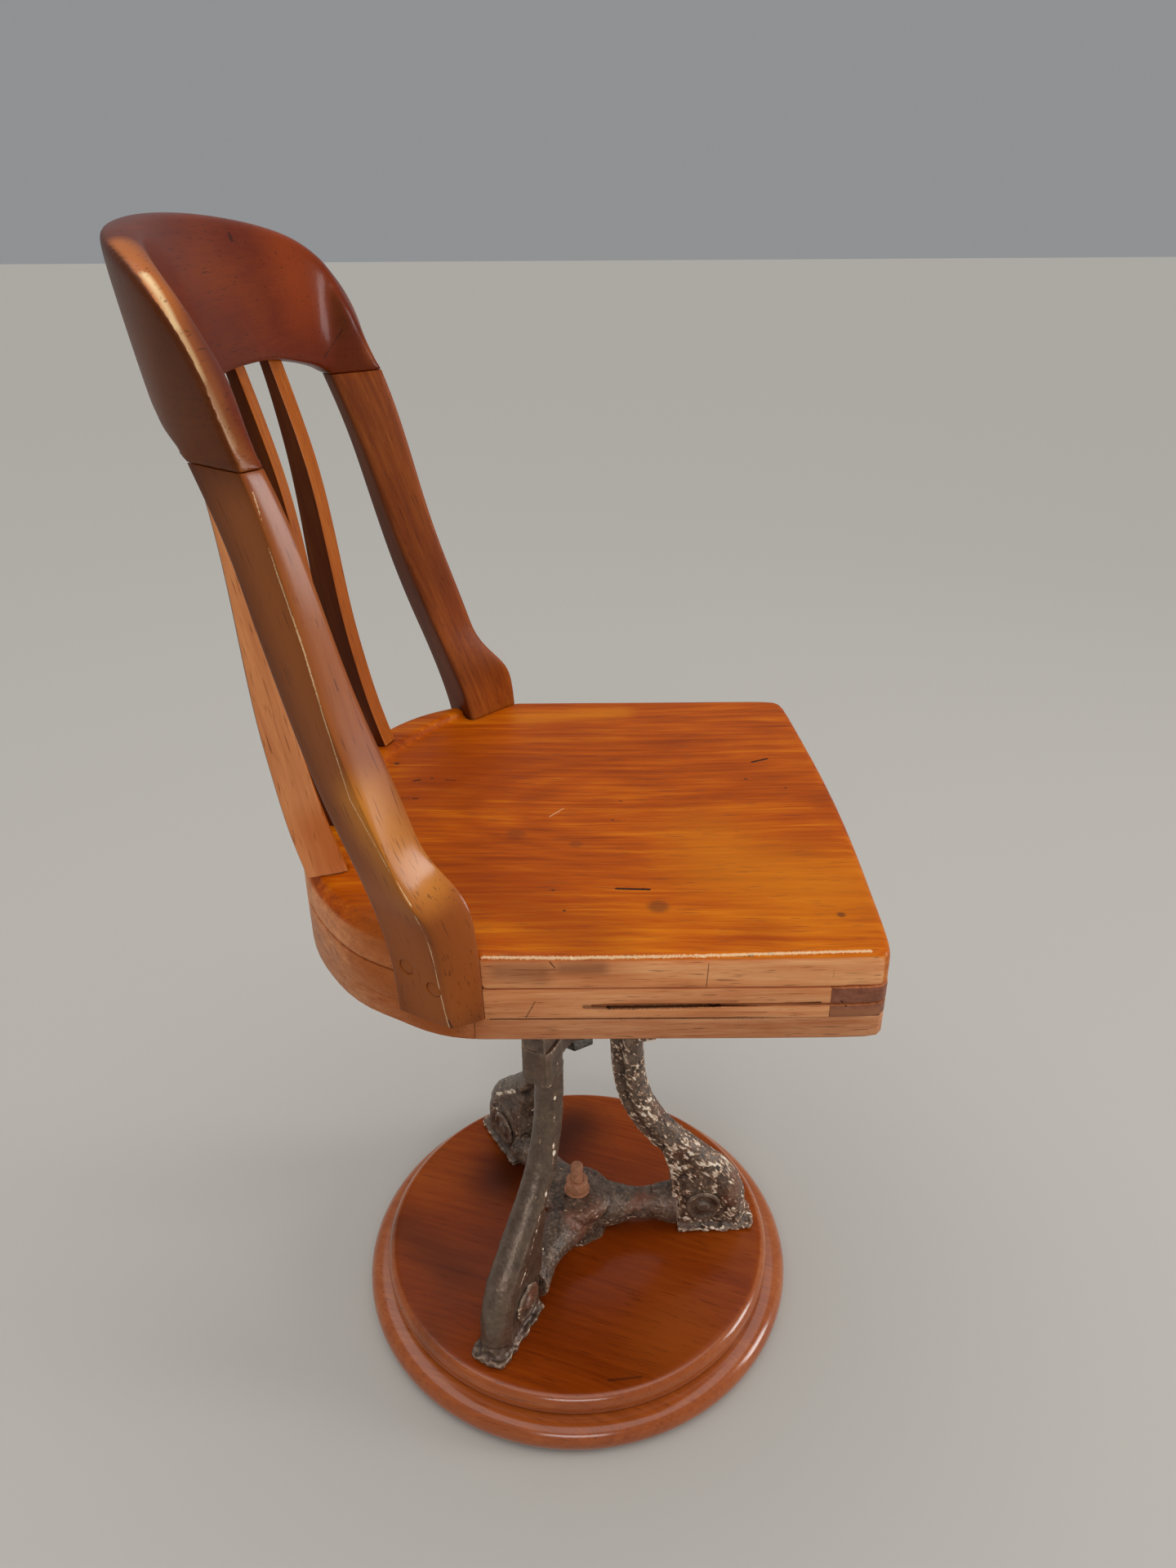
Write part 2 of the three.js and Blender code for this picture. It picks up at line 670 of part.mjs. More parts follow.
// Tie between the three feet, with a lobed hub under the stud's nut
function tieHub() {
  const steps = lobeSteps * tieLobeCount;
  const rings = tieHubShares.map(([radius, height], row) => {
    const points = [];
    for (let i = 0; i < steps; i += 1) {
      const angle = (2 * Math.PI * i) / steps;
      const fade = Math.max(0, 1 - row / lobeRows);
      const swell = (fade * tieLobeHeight * (1 + Math.cos(tieLobeCount * angle))) / 2;
      const reach = radius * tieHubRadius + swell;
      const z = legFoot + height * (tieHubHeight - fitGap);
      points.push(vector(reach * Math.cos(angle), reach * Math.sin(angle), z));
    }
    return points;
  });
  return loft(rings);
}

function tieCollar(clearance) {
  const end = footPlateInnerRadius + clearance;
  const start = footPlateInnerRadius - tieCollarLength - clearance;
  const radius = tieCollarRadius + clearance;
  const bar = turned([
    [0, start], [tieArmRadius + clearance, start], [radius, end - tieCollarLength / 4],
    [radius, end], [0, end],
  ]);
  return bar.rotateY(Math.PI / 2).translate(0, 0, tieArmLevel);
}

function tieSpider() {
  const end = footPlateInnerRadius - sinkIn;
  const profile = [
    [0, studRadius], [tieRootRadius, studRadius], [tieRootRadius, tieHubRadius],
    [tieArmRadius, tieHubRadius + tieRootLength], [tieArmRadius, end], [0, end],
  ];
  const arm = turned(profile).rotateY(Math.PI / 2).translate(0, 0, tieArmLevel);
  const oneArm = join(arm, tieCollar(0), tieTongue(0));
  const body = join(tieHub(), ...aroundLegs(oneArm));
  const bore = rod(studRadius + fitGap, plinthTop - cutOverrun, legFoot + tieHubHeight + cutOverrun);
  const side = tieTongueThickness;
  const boltHole = crossRod(tieBoltRadius + fitGap, -side, side, tieBoltReach, tieBoltLevel);
  return cut(body, bore, ...aroundLegs(boltHole));
}

// Rosette-headed bolts through the legs and the tie's tongues
function rosetteProfile(base) {
  return rosetteShares.map(([radius, height]) => [
    radius * rosetteRadius, base + height * rosetteThickness,
  ]);
}

const rosetteBase = flankFace + fitGap;
const rosetteBoreEnd = rosetteBase + rosetteBoreShare * rosetteThickness;

function tieBolt() {
  const shank = rod(tieBoltRadius, -rosetteBoreEnd, rosetteBase + sinkIn);
  const whole = join(shank, turned(rosetteProfile(rosetteBase)));
  return whole.rotateX(-Math.PI / 2).translate(tieBoltReach, 0, tieBoltLevel);
}

function tieBoltNut() {
  const bore = rod(tieBoltRadius + fitGap, rosetteBase - cutOverrun, rosetteBoreEnd + fitGap);
  const nut = cut(turned(rosetteProfile(rosetteBase)), bore);
  return nut.rotateX(Math.PI / 2).translate(tieBoltReach, 0, tieBoltLevel);
}

const tieTop = legFoot + tieHubHeight - fitGap;
const studWasherBottom = tieTop + fitGap;
const studNutBottom = studWasherBottom + studWasherThickness + fitGap;

function hubStud() {
  const top = tieTop + studTopAboveHub;
  return chamferedRod(studRadius, studChamfer, plinthTop - studDepthInPlinth, top);
}

function hexNut(radius, height, bore, bottom) {
  const body = prism(polygon(radius, 6), bottom, bottom + height);
  const crownLine = nutCrownShares.map(([out, up]) => [out * radius, bottom + up * height]);
  const [[widest]] = crownLine;
  const crown = turned([
    [0, bottom - cutOverrun], [widest, bottom - cutOverrun], ...crownLine, [0, bottom + height],
  ]);
  const hole = rod(bore, bottom - cutOverrun, bottom + height + cutOverrun);
  return cut(common(body, crown), hole);
}

// Upper spider: the casting that the three legs carry, with the bearing hub in its middle.
// The web of each arm runs from the hub to the leg's block.
function spiderWeb(width, clearance) {
  const inner = spiderHubRadius - spiderHubChamfer;
  const outer = legBlockRadius - legBlockDepth / 2 - fitGap + clearance;
  const bottom = hubBottom + sinkIn - clearance;
  const top = spiderPadTop - sinkIn;
  return box(outer - inner, width, top - bottom, (outer + inner) / 2, 0, (top + bottom) / 2);
}

function spiderArm() {
  const padStart = spiderHubRadius - spiderHubChamfer + sinkIn;
  const padEnd = legBlockRadius + legBlockDepth / 2;
  const padBottom = legTop + fitGap;
  const pad = box(
    padEnd - padStart, legBlockWidth - 2 * legBlockChamfer, spiderPadTop - padBottom,
    (padEnd + padStart) / 2, 0, (spiderPadTop + padBottom) / 2,
  );
  const hole = rod(spiderBoltRadius + fitGap, padBottom - cutOverrun, spiderPadTop + cutOverrun)
    .translate(legBlockRadius, 0, 0);
  return cut(join(spiderWeb(spiderArmWidth, 0), pad), hole);
}

const bushOuterRadius = spindleRadius + fitGap + bushWall;

function upperSpider() {
  const hub = chamferedRod(spiderHubRadius, spiderHubChamfer, hubBottom, hubTop);
  const bore = rod(bushOuterRadius + fitGap, hubBottom - cutOverrun, hubTop + cutOverrun);
  return cut(join(hub, ...aroundLegs(spiderArm())), bore);
}

function spiderBolt() {
  const base = spiderPadTop + fitGap;
  const head = prism(polygon(spiderBoltHeadRadius, 6), base, base + spiderBoltHeadHeight);
  const shank = rod(spiderBoltRadius, legTop - spiderBoltDepth, base + sinkIn);
  return join(head, shank).translate(legBlockRadius, 0, 0);
}

function hubBush() {
  const inner = spindleRadius + fitGap;
  const base = hubTop + fitGap;
  return turned([
    [inner, hubBottom], [bushOuterRadius, hubBottom], [bushOuterRadius, base],
    [bushFlangeRadius, base], [bushFlangeRadius, flangeTop], [inner, flangeTop],
    [inner, hubBottom],
  ]);
}

// Thrust bearing: two races and a ring of balls
const ballCircleRadius = (raceOuterRadius + bushOuterRadius) / 2;

function race(face, back) {
  const direction = Math.sign(face - back);
  const groove = face - direction * raceGrooveDepth;
  const half = raceGrooveWidth / 2;
  const inner = spindleRadius + fitGap;
  const points = [
    [inner, back], [raceOuterRadius, back], [raceOuterRadius, face],
    [ballCircleRadius + half, face], [ballCircleRadius + half / 2, groove],
    [ballCircleRadius - half / 2, groove], [ballCircleRadius - half, face], [inner, face],
    [inner, back],
  ];
  return turned(direction > 0 ? points : points.reverse());
}

// Balls and the wire cage that spaces them, as one body
function ballRing() {
  const level = (lowerRaceTop + upperRaceBottom) / 2;
  const cage = ring(
    ballCircleRadius - cageRadius, ballCircleRadius + cageRadius, -cageRadius, cageRadius,
  );
  const balls = polygon(ballCircleRadius, ballCount).map(([x, y]) => (
    new THREE.IcosahedronGeometry(ballRadius, 1).translate(x, y, 0)
  ));
  return join(cage, ...balls).translate(0, 0, level);
}

const spindleWasherTop = hubBottom - fitGap;
const spindleNutTop = spindleWasherTop - spindleWasherThickness - fitGap;
const spindleBottom = spindleNutTop - spindleNutHeight - spindleTipLength;
const spindlePinLevel = (socketBottom + plateBottom) / 2;

function spindle() {
  const shaft = chamferedRod(spindleRadius, spindleChamfer, spindleBottom, plateTop);
  const body = join(shaft, rod(spindleCollarRadius, collarBottom, collarTop));
  const pin = crossRod(
    spindlePinRadius + fitGap, -2 * spindleRadius, 2 * spindleRadius, 0, spindlePinLevel,
  );
  return cut(body, pin);
}

// Iron plate under the seat, with four arms and a socket that is pinned to the spindle
const plateArmAngles = [45, 135, 225, 315];

function aroundPlate(geometry) {
  return plateArmAngles.map((angle) => geometry.clone().rotateZ(angle * degree));
}

const plateScrewReach = seatPlateArmLength - plateScrewInset;

function seatPlate() {
  const half = seatPlateArmWidth / 2;
  const tip = seatPlateArmLength - half;
  const outline = [[0, -half], [tip, -half], ...roundedTip(tip, half), [tip, half], [0, half]];
  const arm = prism(outline, plateBottom, plateTop);
  const disc = rod(seatPlateRingRadius, plateBottom, plateTop);
  const socket = turned([
    [0, socketBottom], [seatPlateSocketRadius, socketBottom],
    [seatPlateSocketRadius, plateBottom - seatPlateThickness],
    [seatPlateSocketRadius + seatPlateThickness, plateBottom + sinkIn], [0, plateBottom + sinkIn],
  ]);
  const bore = rod(spindleRadius + fitGap, socketBottom - cutOverrun, plateTop + cutOverrun);
  const pinEnd = 2 * seatPlateSocketRadius;
  const pin = crossRod(spindlePinRadius + fitGap, -pinEnd, pinEnd, 0, spindlePinLevel);
  return cut(join(disc, socket, ...aroundPlate(arm)), bore, pin, ...plateScrewSpaces());
}

function roundedTip(centre, half) {
  const points = [];
  for (let i = 1; i < tipSteps; i += 1) {
    const angle = -Math.PI / 2 + (Math.PI * i) / tipSteps;
    points.push([centre + half * Math.cos(angle), half * Math.sin(angle)]);
  }
  return points;
}

// Countersunk screw under a plate arm, or with a clearance the space that it needs
function plateScrew(clearance) {
  const head = plateScrewHeadRadius + clearance;
  const shank = plateScrewRadius + clearance;
  const base = clearance > 0 ? plateBottom - cutOverrun : plateBottom;
  const neck = plateBottom + plateScrewHeadHeight;
  const tip = plateBottom + plateScrewLength;
  return turned([
    [0, base], [head, base], [head, plateBottom + plateScrewHeadHeight / 4], [shank, neck],
    [shank, tip - shank], [0, tip + clearance],
  ], roundSteps / 2).translate(plateScrewReach, 0, 0);
}

function plateScrewSpaces() {
  return aroundPlate(plateScrew(fitGap));
}

// Seat: three glued layers, the top one carved
const wide = 2 * Math.max(seatHalfWidth, seatFrontDepth, seatRearDepth);

function outlinePoints() {
  const half = seatOutlineShares.map(([across, along]) => {
    const depth = along < 0 ? seatFrontDepth : seatRearDepth;
    return [across * seatHalfWidth, along * depth];
  });
  const other = half.slice(1, -1).reverse().map(([x, y]) => [-x, y]);
  const slope = seatFrontSkew / (2 * seatHalfWidth * seatFrontDepth);
  return [...half, ...other].map(([x, y]) => [x, y < 0 ? y * (1 - x * slope) : y]);
}

function outlineRing(inset, z) {
  return outlinePoints().map(([x, y]) => {
    const share = 1 - inset / Math.hypot(x, y);
    return vector(x * share, y * share, z);
  });
}

function seatLayer(bottom, top) {
  return loft([outlineRing(0, bottom), outlineRing(0, top)]);
}

function crescentLine() {
  return crescentShares.map(([across, along]) => [across * seatHalfWidth, along * seatRearDepth]);
}

// Everything in front of the rear rim, from the carved level upwards
function carvedSpace() {
  const line = crescentLine();
  const other = line.slice(0, -1).reverse().map(([x, y]) => [-x, y]);
  const corner = line[0][1];
  const outline = [
    [wide, -wide], [wide, corner], ...line, ...other, [-wide, corner], [-wide, -wide],
  ];
  return prism(outline, seatHeight, crescentTop + cutOverrun);
}

function dish() {
  const profile = [[0, crescentTop], [0, seatHeight - dishDepth]];
  for (let i = 1; i <= dishSteps; i += 1) {
    const share = i / dishSteps;
    const depth = (dishDepth / 2) * (1 + Math.cos(Math.PI * share));
    profile.push([dishRadius * share, seatHeight - depth]);
  }
  profile.push([dishRadius, crescentTop], [0, crescentTop]);
  return turned(profile, dishFacets).translate(0, -dishForward, 0);
}

function seatTopBoard() {
  const bottom = middleBoardTop + fitGap;
  const edge = seatEdgeShares.map(([inset, drop]) => {
    const z = drop > 0 ? seatHeight - drop * seatEdgeRounding : seatHeight - drop * crescentHeight;
    return outlineRing(inset * seatEdgeRounding, z);
  });
  const blank = loft([outlineRing(0, bottom), ...edge]);
  const mortises = slatPlaces().map((place) => slatTenon(place, 'foot', fitGap));
  return cut(blank, carvedSpace(), dish(), ...postSpaces(), ...mortises, ...postScrewSpaces());
}

// Band of the seat between two depths, over its whole width
function seatBand(frontY, rearY, halfWidth) {
  const middle = (frontY + rearY) / 2;
  return box(2 * halfWidth, rearY - frontY, seatHeight, 0, middle, seatHeight);
}

function middleLayer() {
  const layer = seatLayer(bottomBoardTop + fitGap, middleBoardTop);
  return cut(layer, ...postSpaces(), openJoint(), ...plateScrewSpaces());
}

const railLine = frontRailDepth - seatFrontDepth;
const sideLine = seatHalfWidth - sideRailWidth;

function seatFrontRail() {
  return common(middleLayer(), seatBand(-wide, railLine, wide));
}

function seatSideRail(sign) {
  const width = wide - sideLine;
  const middle = sign * (sideLine + width / 2);
  const start = railLine + fitGap;
  const length = wide - start;
  return common(
    middleLayer(), box(width, length, seatHeight, middle, start + length / 2, seatHeight),
  );
}

function seatCoreBoard() {
  const start = railLine + fitGap;
  return common(middleLayer(), seatBand(start, wide, sideLine - fitGap));
}

// Thin wedge of open glue line along the right side, closing towards the front
function openJoint() {
  const level = bottomBoardTop + openJointLevelShare * middleBoardThickness;
  const half = openJointHeight / 2;
  const slit = openJointTaperShare * half;
  const nose = -openJointRear - openJointNose;
  const front = -seatFrontDepth - cutOverrun;
  const corners = (x) => [
    vector(x, -openJointRear, level + half / 2), vector(x, -openJointRear, level - half / 2),
    vector(x, nose, level - half), vector(x, front, level - slit),
    vector(x, front, level + slit), vector(x, nose, level + half),
  ];
  return loft([corners(-wide), corners(openJointDepth - seatHalfWidth)]);
}

function bottomLayer() {
  const ease = seatUnderEdgeShare * seatEdgeRounding;
  const layer = loft([
    outlineRing(ease, seatBottom), outlineRing(0, seatBottom + ease),
    outlineRing(0, bottomBoardTop),
  ]);
  return cut(layer, ...plateScrewSpaces());
}

function seatBottomBoard() {
  return common(bottomLayer(), seatBand(-wide, bottomJointDepth, wide).translate(0, 0, -seatHeight / 2));
}

function seatBottomRear() {
  const band = seatBand(bottomJointDepth + fitGap, wide, wide).translate(0, 0, -seatHeight / 2);
  return common(bottomLayer(), band);
}

// Posts: sawn to shape, each lofted between its four arrises
const postBase = bottomBoardTop + fitGap;

function postArrises() {
  const tables = [
    postOuterFrontShares, postInnerFrontShares, postInnerRearShares, postOuterRearShares,
  ];
  return tables.map((shares) => {
    const points = shares.map(([across, along, up]) => vector(
      across * seatHalfWidth, along * postRearDepth, postBase + up * (jointHeight - postBase),
    ));
    return sampled(points, 4 * points.length);
  });
}

const leftArrises = postArrises();

function postSection(z) {
  return leftArrises.map((line) => atHeight(line, z).setZ(z));
}

function postBody(clearance) {
  const levels = postLevelShares.map((share) => postBase + share * (jointHeight - postBase));
  levels[0] -= clearance;
  const radii = Array(4).fill(postEdgeRounding);
  return loft(levels.map((z) => easedRing(grown(postSection(z), clearance), radii)));
}

function postSpaces() {
  const space = postBody(fitGap);
  return [space, mirroredX(space)];
}

// Screws that hold each post to the seat, sunk under wooden plugs in the post's outer face.
// Each is made upright with the post's face at zero, then laid into its place.
function postFixings(make) {
  return postPlugShares.map(([down, over]) => {
    const z = seatHeight - down * topBoardThickness;
    const [front, , , rear] = postSection(z);
    const along = rear.clone().sub(front).normalize();
    const outward = vector(along.y, -along.x, 0);
    const place = front.clone().lerp(rear, over);
    const turn = new THREE.Matrix4().makeBasis(along, vector(0, 0, 1), outward);
    return make().applyMatrix4(turn).translate(place.x, place.y, place.z);
  });
}

const plugTop = -postPlugThickness / 8;
const plugBottom = plugTop - postPlugThickness;

function postPlug() {
  return rod(postPlugRadius, plugBottom, plugTop);
}

function plugSpace() {
  const opening = postPlugThickness + cutOverrun;
  return rod(postPlugRadius + fitGap, plugBottom - fitGap, opening);
}

function postScrew(grow) {
  const top = plugBottom - fitGap;
  const neck = top - postScrewHeadRadius;
  const tip = top - postScrewLength - grow;
  const shank = postScrewRadius + grow;
  const head = postScrewHeadRadius + grow;
  return turned([
    [0, tip], [shank / 2, tip], [shank, tip + shank], [shank, neck], [head, top],
    [head, top + grow / 2], [0, top + grow / 2],
  ], roundSteps / 2);
}

function postScrewSpaces() {
  const left = postFixings(() => postScrew(fitGap));
  return [...left, ...left.map(mirroredX)];
}

function post() {
  const screws = postFixings(() => postScrew(fitGap));
  return cut(postBody(0), ...screws, ...postFixings(plugSpace), crestDowel(fitGap));
}

// Crest rail: one deep curved rail, its section turning as it runs from post to post
function crestLine(shares) {
  const rise = backHeight - jointHeight - fitGap;
  const half = shares.map(([across, along, up]) => (
    vector(across * crestHalfSpan, along * crestDepth, jointHeight + fitGap + up * rise)
  ));
  const other = half.slice(0, -1).reverse().map((point) => vector(-point.x, point.y, point.z));
  return [...half, ...other];
}

function crestBody() {
  const tables = [
    crestOuterTopShares, crestInnerTopShares, crestInnerUnderShares, crestOuterUnderShares,
  ];
  const lines = tables.map((table) => sampled(crestLine(table), crestSteps));
  const rings = lines[0].map((_, i) => {
    const share = Math.min(1, (4 * Math.min(i, crestSteps - i)) / crestSteps);
    const top = THREE.MathUtils.lerp(crestEndRounding, crestTopRounding, share);
    const under = THREE.MathUtils.lerp(crestEndRounding, crestUnderRounding, share);
    return easedRing(lines.map((line) => line[i]), [top, top, under, under]);
  });
  return loft(rings);
}

// Dowel across the joint between a post and the crest rail
function crestDowel(grow) {
  const middle = vector(0, 0, 0);
  postSection(jointHeight).forEach((corner) => middle.addScaledVector(corner, 1 / 4));
  const half = crestDowelLength / 2 + grow;
  const body = rod(crestDowelRadius + grow, -half, half, roundSteps / 2);
  return body.translate(middle.x, middle.y, jointHeight);
}

function crestRail() {
  const dowel = crestDowel(fitGap);
  const mortises = slatPlaces().map((place) => slatTenon(place, 'top', fitGap));
  return cut(crestBody(), dowel, mirroredX(dowel), ...mortises, ...slatHeads());
}

// Slats: boards on edge, sawn to an S, tenoned into the seat and the crest rail
const slatFoot = crescentTop + fitGap;
const slatHead = jointHeight + slatHeadShare * (backHeight - jointHeight);

function slatPlaces() {
  const outer = { x: outerSlatOffset, turn: outerSlatTurn, front: outerSlatFrontDepth };
  const inner = { x: innerSlatOffset, turn: innerSlatTurn, front: innerSlatFrontDepth };
  const right = (place) => ({ ...place, x: -place.x, turn: -place.turn });
  return [outer, inner, right(inner), right(outer)];
}

function slatRing(place, sweep, depth, grow, z) {
  const back = vector(Math.sin(place.turn * degree), Math.cos(place.turn * degree), 0);
  const over = vector(back.y, -back.x, 0);
  const origin = vector(place.x, place.front + sweep * slatSweep, z);
  const half = slatThickness / 2 + grow;
  const rear = depth * slatFootDepth + grow;
  const corner = (across, along) => origin.clone()
    .addScaledVector(over, across * half).addScaledVector(back, along);
  return [corner(1, -grow), corner(1, rear), corner(-1, rear), corner(-1, -grow)];
}

function slatBody(place, grow) {
  const rise = slatHead - slatFoot;
  const stations = slatStationShares.map(([share, sweep, depth]) => (
    slatRing(place, sweep, depth, grow, slatFoot + share * rise)
  ));
  const radii = Array(4).fill(slatEdgeRounding);
  return loft(stations.map((corners) => easedRing(corners, radii)));
}

function slatTenon(place, end, grow) {
  const foot = end === 'foot';
  const [, sweep, depth] = foot ? slatStationShares[0] : slatStationShares.at(-1);
  const level = foot ? slatFoot : slatHead;
  const outer = foot ? level - slatTenonLength - grow : level + slatTenonLength + grow;
  const inner = foot ? level + sinkIn : level - sinkIn;
  const inset = grow - slatTenonShoulder;
  const kept = depth * slatTenonDepthShare;
  return loft([inner, outer].map((z) => slatRing(place, sweep, kept, inset, z)));
}

// Space that the slats' heads take in the underside of the crest rail
function slatHeads() {
  return slatPlaces().map((place) => slatBody(place, fitGap));
}

function slat(place) {
  return join(slatBody(place, 0), slatTenon(place, 'foot', 0), slatTenon(place, 'top', 0));
}

// Adds one copy of a piece for each ending of its name
function addPieces(name, endings, geometries, material) {
  endings.forEach((ending, i) => addPiece(`${name}_${ending}`, geometries[i], material));
}

// Adds a piece on the left and its mirror image on the right
function addPair(name, ending, geometry, material) {
  addPiece(`${name}_left${ending}`, geometry, material);
  addPiece(`${name}_right${ending}`, mirroredX(geometry), material);
}

// Assembly: the base that stands still
const legPlaces = ['front', 'rear_left', 'rear_right'];
addPiece('plinth_lower_disc', plinthLowerDisc(), plinthWood);
addPiece('plinth_upper_disc', plinthUpperDisc(), plinthWood);
addPieces('leg', legPlaces, aroundLegs(leg()), castIron);
addPiece('tie_spider', tieSpider(), castIron);
addPieces('tie_bolt', legPlaces, aroundLegs(tieBolt()), castIron);
addPieces('tie_nut', legPlaces, aroundLegs(tieBoltNut()), castIron);
addPiece('hub_stud', hubStud(), rustySteel);
const studWasherTop = studWasherBottom + studWasherThickness;
const studWasher = ring(studRadius + fitGap, studWasherRadius, studWasherBottom, studWasherTop);
addPiece('hub_washer', studWasher, rustySteel);
const studNut = hexNut(studNutRadius, studNutHeight, studRadius + fitGap, studNutBottom);
addPiece('hub_nut', studNut, rustySteel);
addPiece('upper_spider', upperSpider(), castIron);
addPieces('upper_spider_bolt', legPlaces, aroundLegs(spiderBolt()), castIron);
addPiece('hub_bush', hubBush(), bronze);
addPiece('race_lower', race(lowerRaceTop, flangeTop + fitGap), bareSteel);
addPiece('ball_ring', ballRing(), bareSteel);

// Assembly: everything that turns with the seat
addPiece('race_upper', race(upperRaceBottom, upperRaceBottom + raceHeight), bareSteel);
addPiece('spindle', spindle(), bareSteel);
const washerBottom = spindleWasherTop - spindleWasherThickness;
const spindleBore = spindleRadius + fitGap;
const spindleWasher = ring(spindleBore, spindleWasherRadius, washerBottom, spindleWasherTop);
addPiece('spindle_washer', spindleWasher, bareSteel);
const spindleNutBottom = spindleNutTop - spindleNutHeight;
const spindleNut = hexNut(spindleNutRadius, spindleNutHeight, spindleBore, spindleNutBottom);
addPiece('spindle_nut', spindleNut, bareSteel);
addPiece('seat_plate', seatPlate(), castIron);
const pinHalf = seatPlateSocketRadius + fitGap;
const spindlePin = crossRod(spindlePinRadius, -pinHalf, pinHalf, 0, spindlePinLevel);
addPiece('spindle_pin', spindlePin, bareSteel);
const plateScrews = aroundPlate(plateScrew(0));
addPieces('seat_plate_screw', ['1', '2', '3', '4'], plateScrews, bareSteel);
addPiece('seat_top_board', seatTopBoard(), amberWood);
addPiece('seat_front_rail', seatFrontRail(), brownWood);
addPiece('seat_side_rail_left', seatSideRail(1), brownWood);
addPiece('seat_side_rail_right', seatSideRail(-1), brownWood);
addPiece('seat_core_board', seatCoreBoard(), brownWood);
addPiece('seat_bottom_board', seatBottomBoard(), brownWood);
addPiece('seat_bottom_rear', seatBottomRear(), brownWood);
addPair('post', '', post(), brownWood);
postFixings(() => postScrew(0)).forEach((screw, i) => {
  addPair('post_screw', `_${i + 1}`, screw, bareSteel);
});
postFixings(postPlug).forEach((plug, i) => {
  addPair('post_plug', `_${i + 1}`, plug, brownWood);
});
const slatNames = ['outer_left', 'inner_left', 'inner_right', 'outer_right'];
addPieces('slat', slatNames, slatPlaces().map(slat), paleWood);
addPiece('crest_rail', crestRail(), redWood);
addPair('crest_dowel', '', crestDowel(0), paleWood);

export default group;
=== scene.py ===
# %% [markdown]
# # A swivel chair of the banker's pattern
# The chair has a laminated wooden seat with a curved, slatted back. It turns on a cast-iron
# tripod, and the tripod stands on a round wooden plinth. The model that is loaded here has
# every piece at its real place and size, in metres, so nothing has to be fitted. What is left
# to do is the looks: turned edges, worn arrises, rough castings, varnish, grain and old paint.

# %% Load the frame
import json
import math

import bpy
from mathutils import Matrix, Vector


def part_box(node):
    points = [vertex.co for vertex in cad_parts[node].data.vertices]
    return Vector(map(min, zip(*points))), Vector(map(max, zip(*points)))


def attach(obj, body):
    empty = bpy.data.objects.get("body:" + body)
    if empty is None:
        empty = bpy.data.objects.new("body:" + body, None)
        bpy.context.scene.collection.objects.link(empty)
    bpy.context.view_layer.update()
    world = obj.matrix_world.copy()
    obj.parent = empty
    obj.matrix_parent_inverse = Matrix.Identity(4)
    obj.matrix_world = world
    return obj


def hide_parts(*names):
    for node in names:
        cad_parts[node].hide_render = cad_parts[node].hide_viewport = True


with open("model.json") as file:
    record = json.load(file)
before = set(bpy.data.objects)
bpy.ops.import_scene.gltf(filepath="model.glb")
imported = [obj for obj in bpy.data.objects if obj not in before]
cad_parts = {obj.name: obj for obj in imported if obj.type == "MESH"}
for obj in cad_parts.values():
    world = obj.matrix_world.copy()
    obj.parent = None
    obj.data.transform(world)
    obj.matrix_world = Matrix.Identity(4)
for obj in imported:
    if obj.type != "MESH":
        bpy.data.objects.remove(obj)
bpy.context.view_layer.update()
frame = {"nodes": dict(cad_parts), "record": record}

bodies = frame["record"]["behaviour"]["bodies"]
home = {node: body for body, nodes in bodies.items() for node in nodes}

# %% [markdown]
# ## The camera
# The camera stands where the photograph was taken: on the chair's right, at the height of the
# crest rail, looking down at the seat. Its place was worked out from the round plinth and the
# level seat. A lens in millimetres follows from the focal length in pixels, because Blender
# lays the sensor's width along the longer side of the picture.

# %% Make the camera
photo_width = 1440
photo_height = 1920
focal_pixels = 1369.7
sensor_width = 36
camera_place = Vector((-0.7643, -0.0128, 0.9269))
camera_pitch = math.radians(27.63)
camera_roll = -0.0063

ahead = Vector((math.cos(camera_pitch), 0, -math.sin(camera_pitch)))
level_right = Vector((0, -1, 0))
level_up = level_right.cross(ahead)
right = level_right * math.cos(camera_roll) + level_up * math.sin(camera_roll)
up = level_up * math.cos(camera_roll) - level_right * math.sin(camera_roll)

lens = bpy.data.cameras.new("photo_camera")
lens.sensor_width = sensor_width
lens.lens = focal_pixels * sensor_width / photo_height
camera = bpy.data.objects.new("photo_camera", lens)
bpy.context.scene.collection.objects.link(camera)
camera.matrix_world = (
    Matrix.Translation(camera_place) @ Matrix((right, up, -ahead)).transposed().to_4x4()
)
bpy.context.scene.camera = camera
bpy.context.scene.view_settings.view_transform = "Standard"
print("lens", round(lens.lens, 2), "mm")


# %% [markdown]
# Old furniture has marks that follow no pattern: a crack, a filled hole, a knot. Each is
# placed by the pixel of the photograph where it shows. A ray from the camera through that
# pixel meets the model in one point, so a mark lies on the surface, seen from any side.

# %% Find the point of the model behind a pixel
def seen_at(pixel):
    """The model's place behind a pixel. A third number moves the place to that height."""
    x = (pixel[0] - photo_width / 2) / focal_pixels
    y = (photo_height / 2 - pixel[1]) / focal_pixels
    direction = (ahead + right * x + up * y).normalized()
    graph = bpy.context.evaluated_depsgraph_get()
    hit, place = bpy.context.scene.ray_cast(graph, camera_place, direction)[:2]
    if not hit:
        raise ValueError(f"no surface behind pixel {pixel}")
    if len(pixel) == 3:
        place.z = pixel[2]
    return place


seat_crack_pixels = ((755, 1088), (795, 1089))
print("crack on the seat at", [round(c, 4) for c in seen_at(seat_crack_pixels[0])])

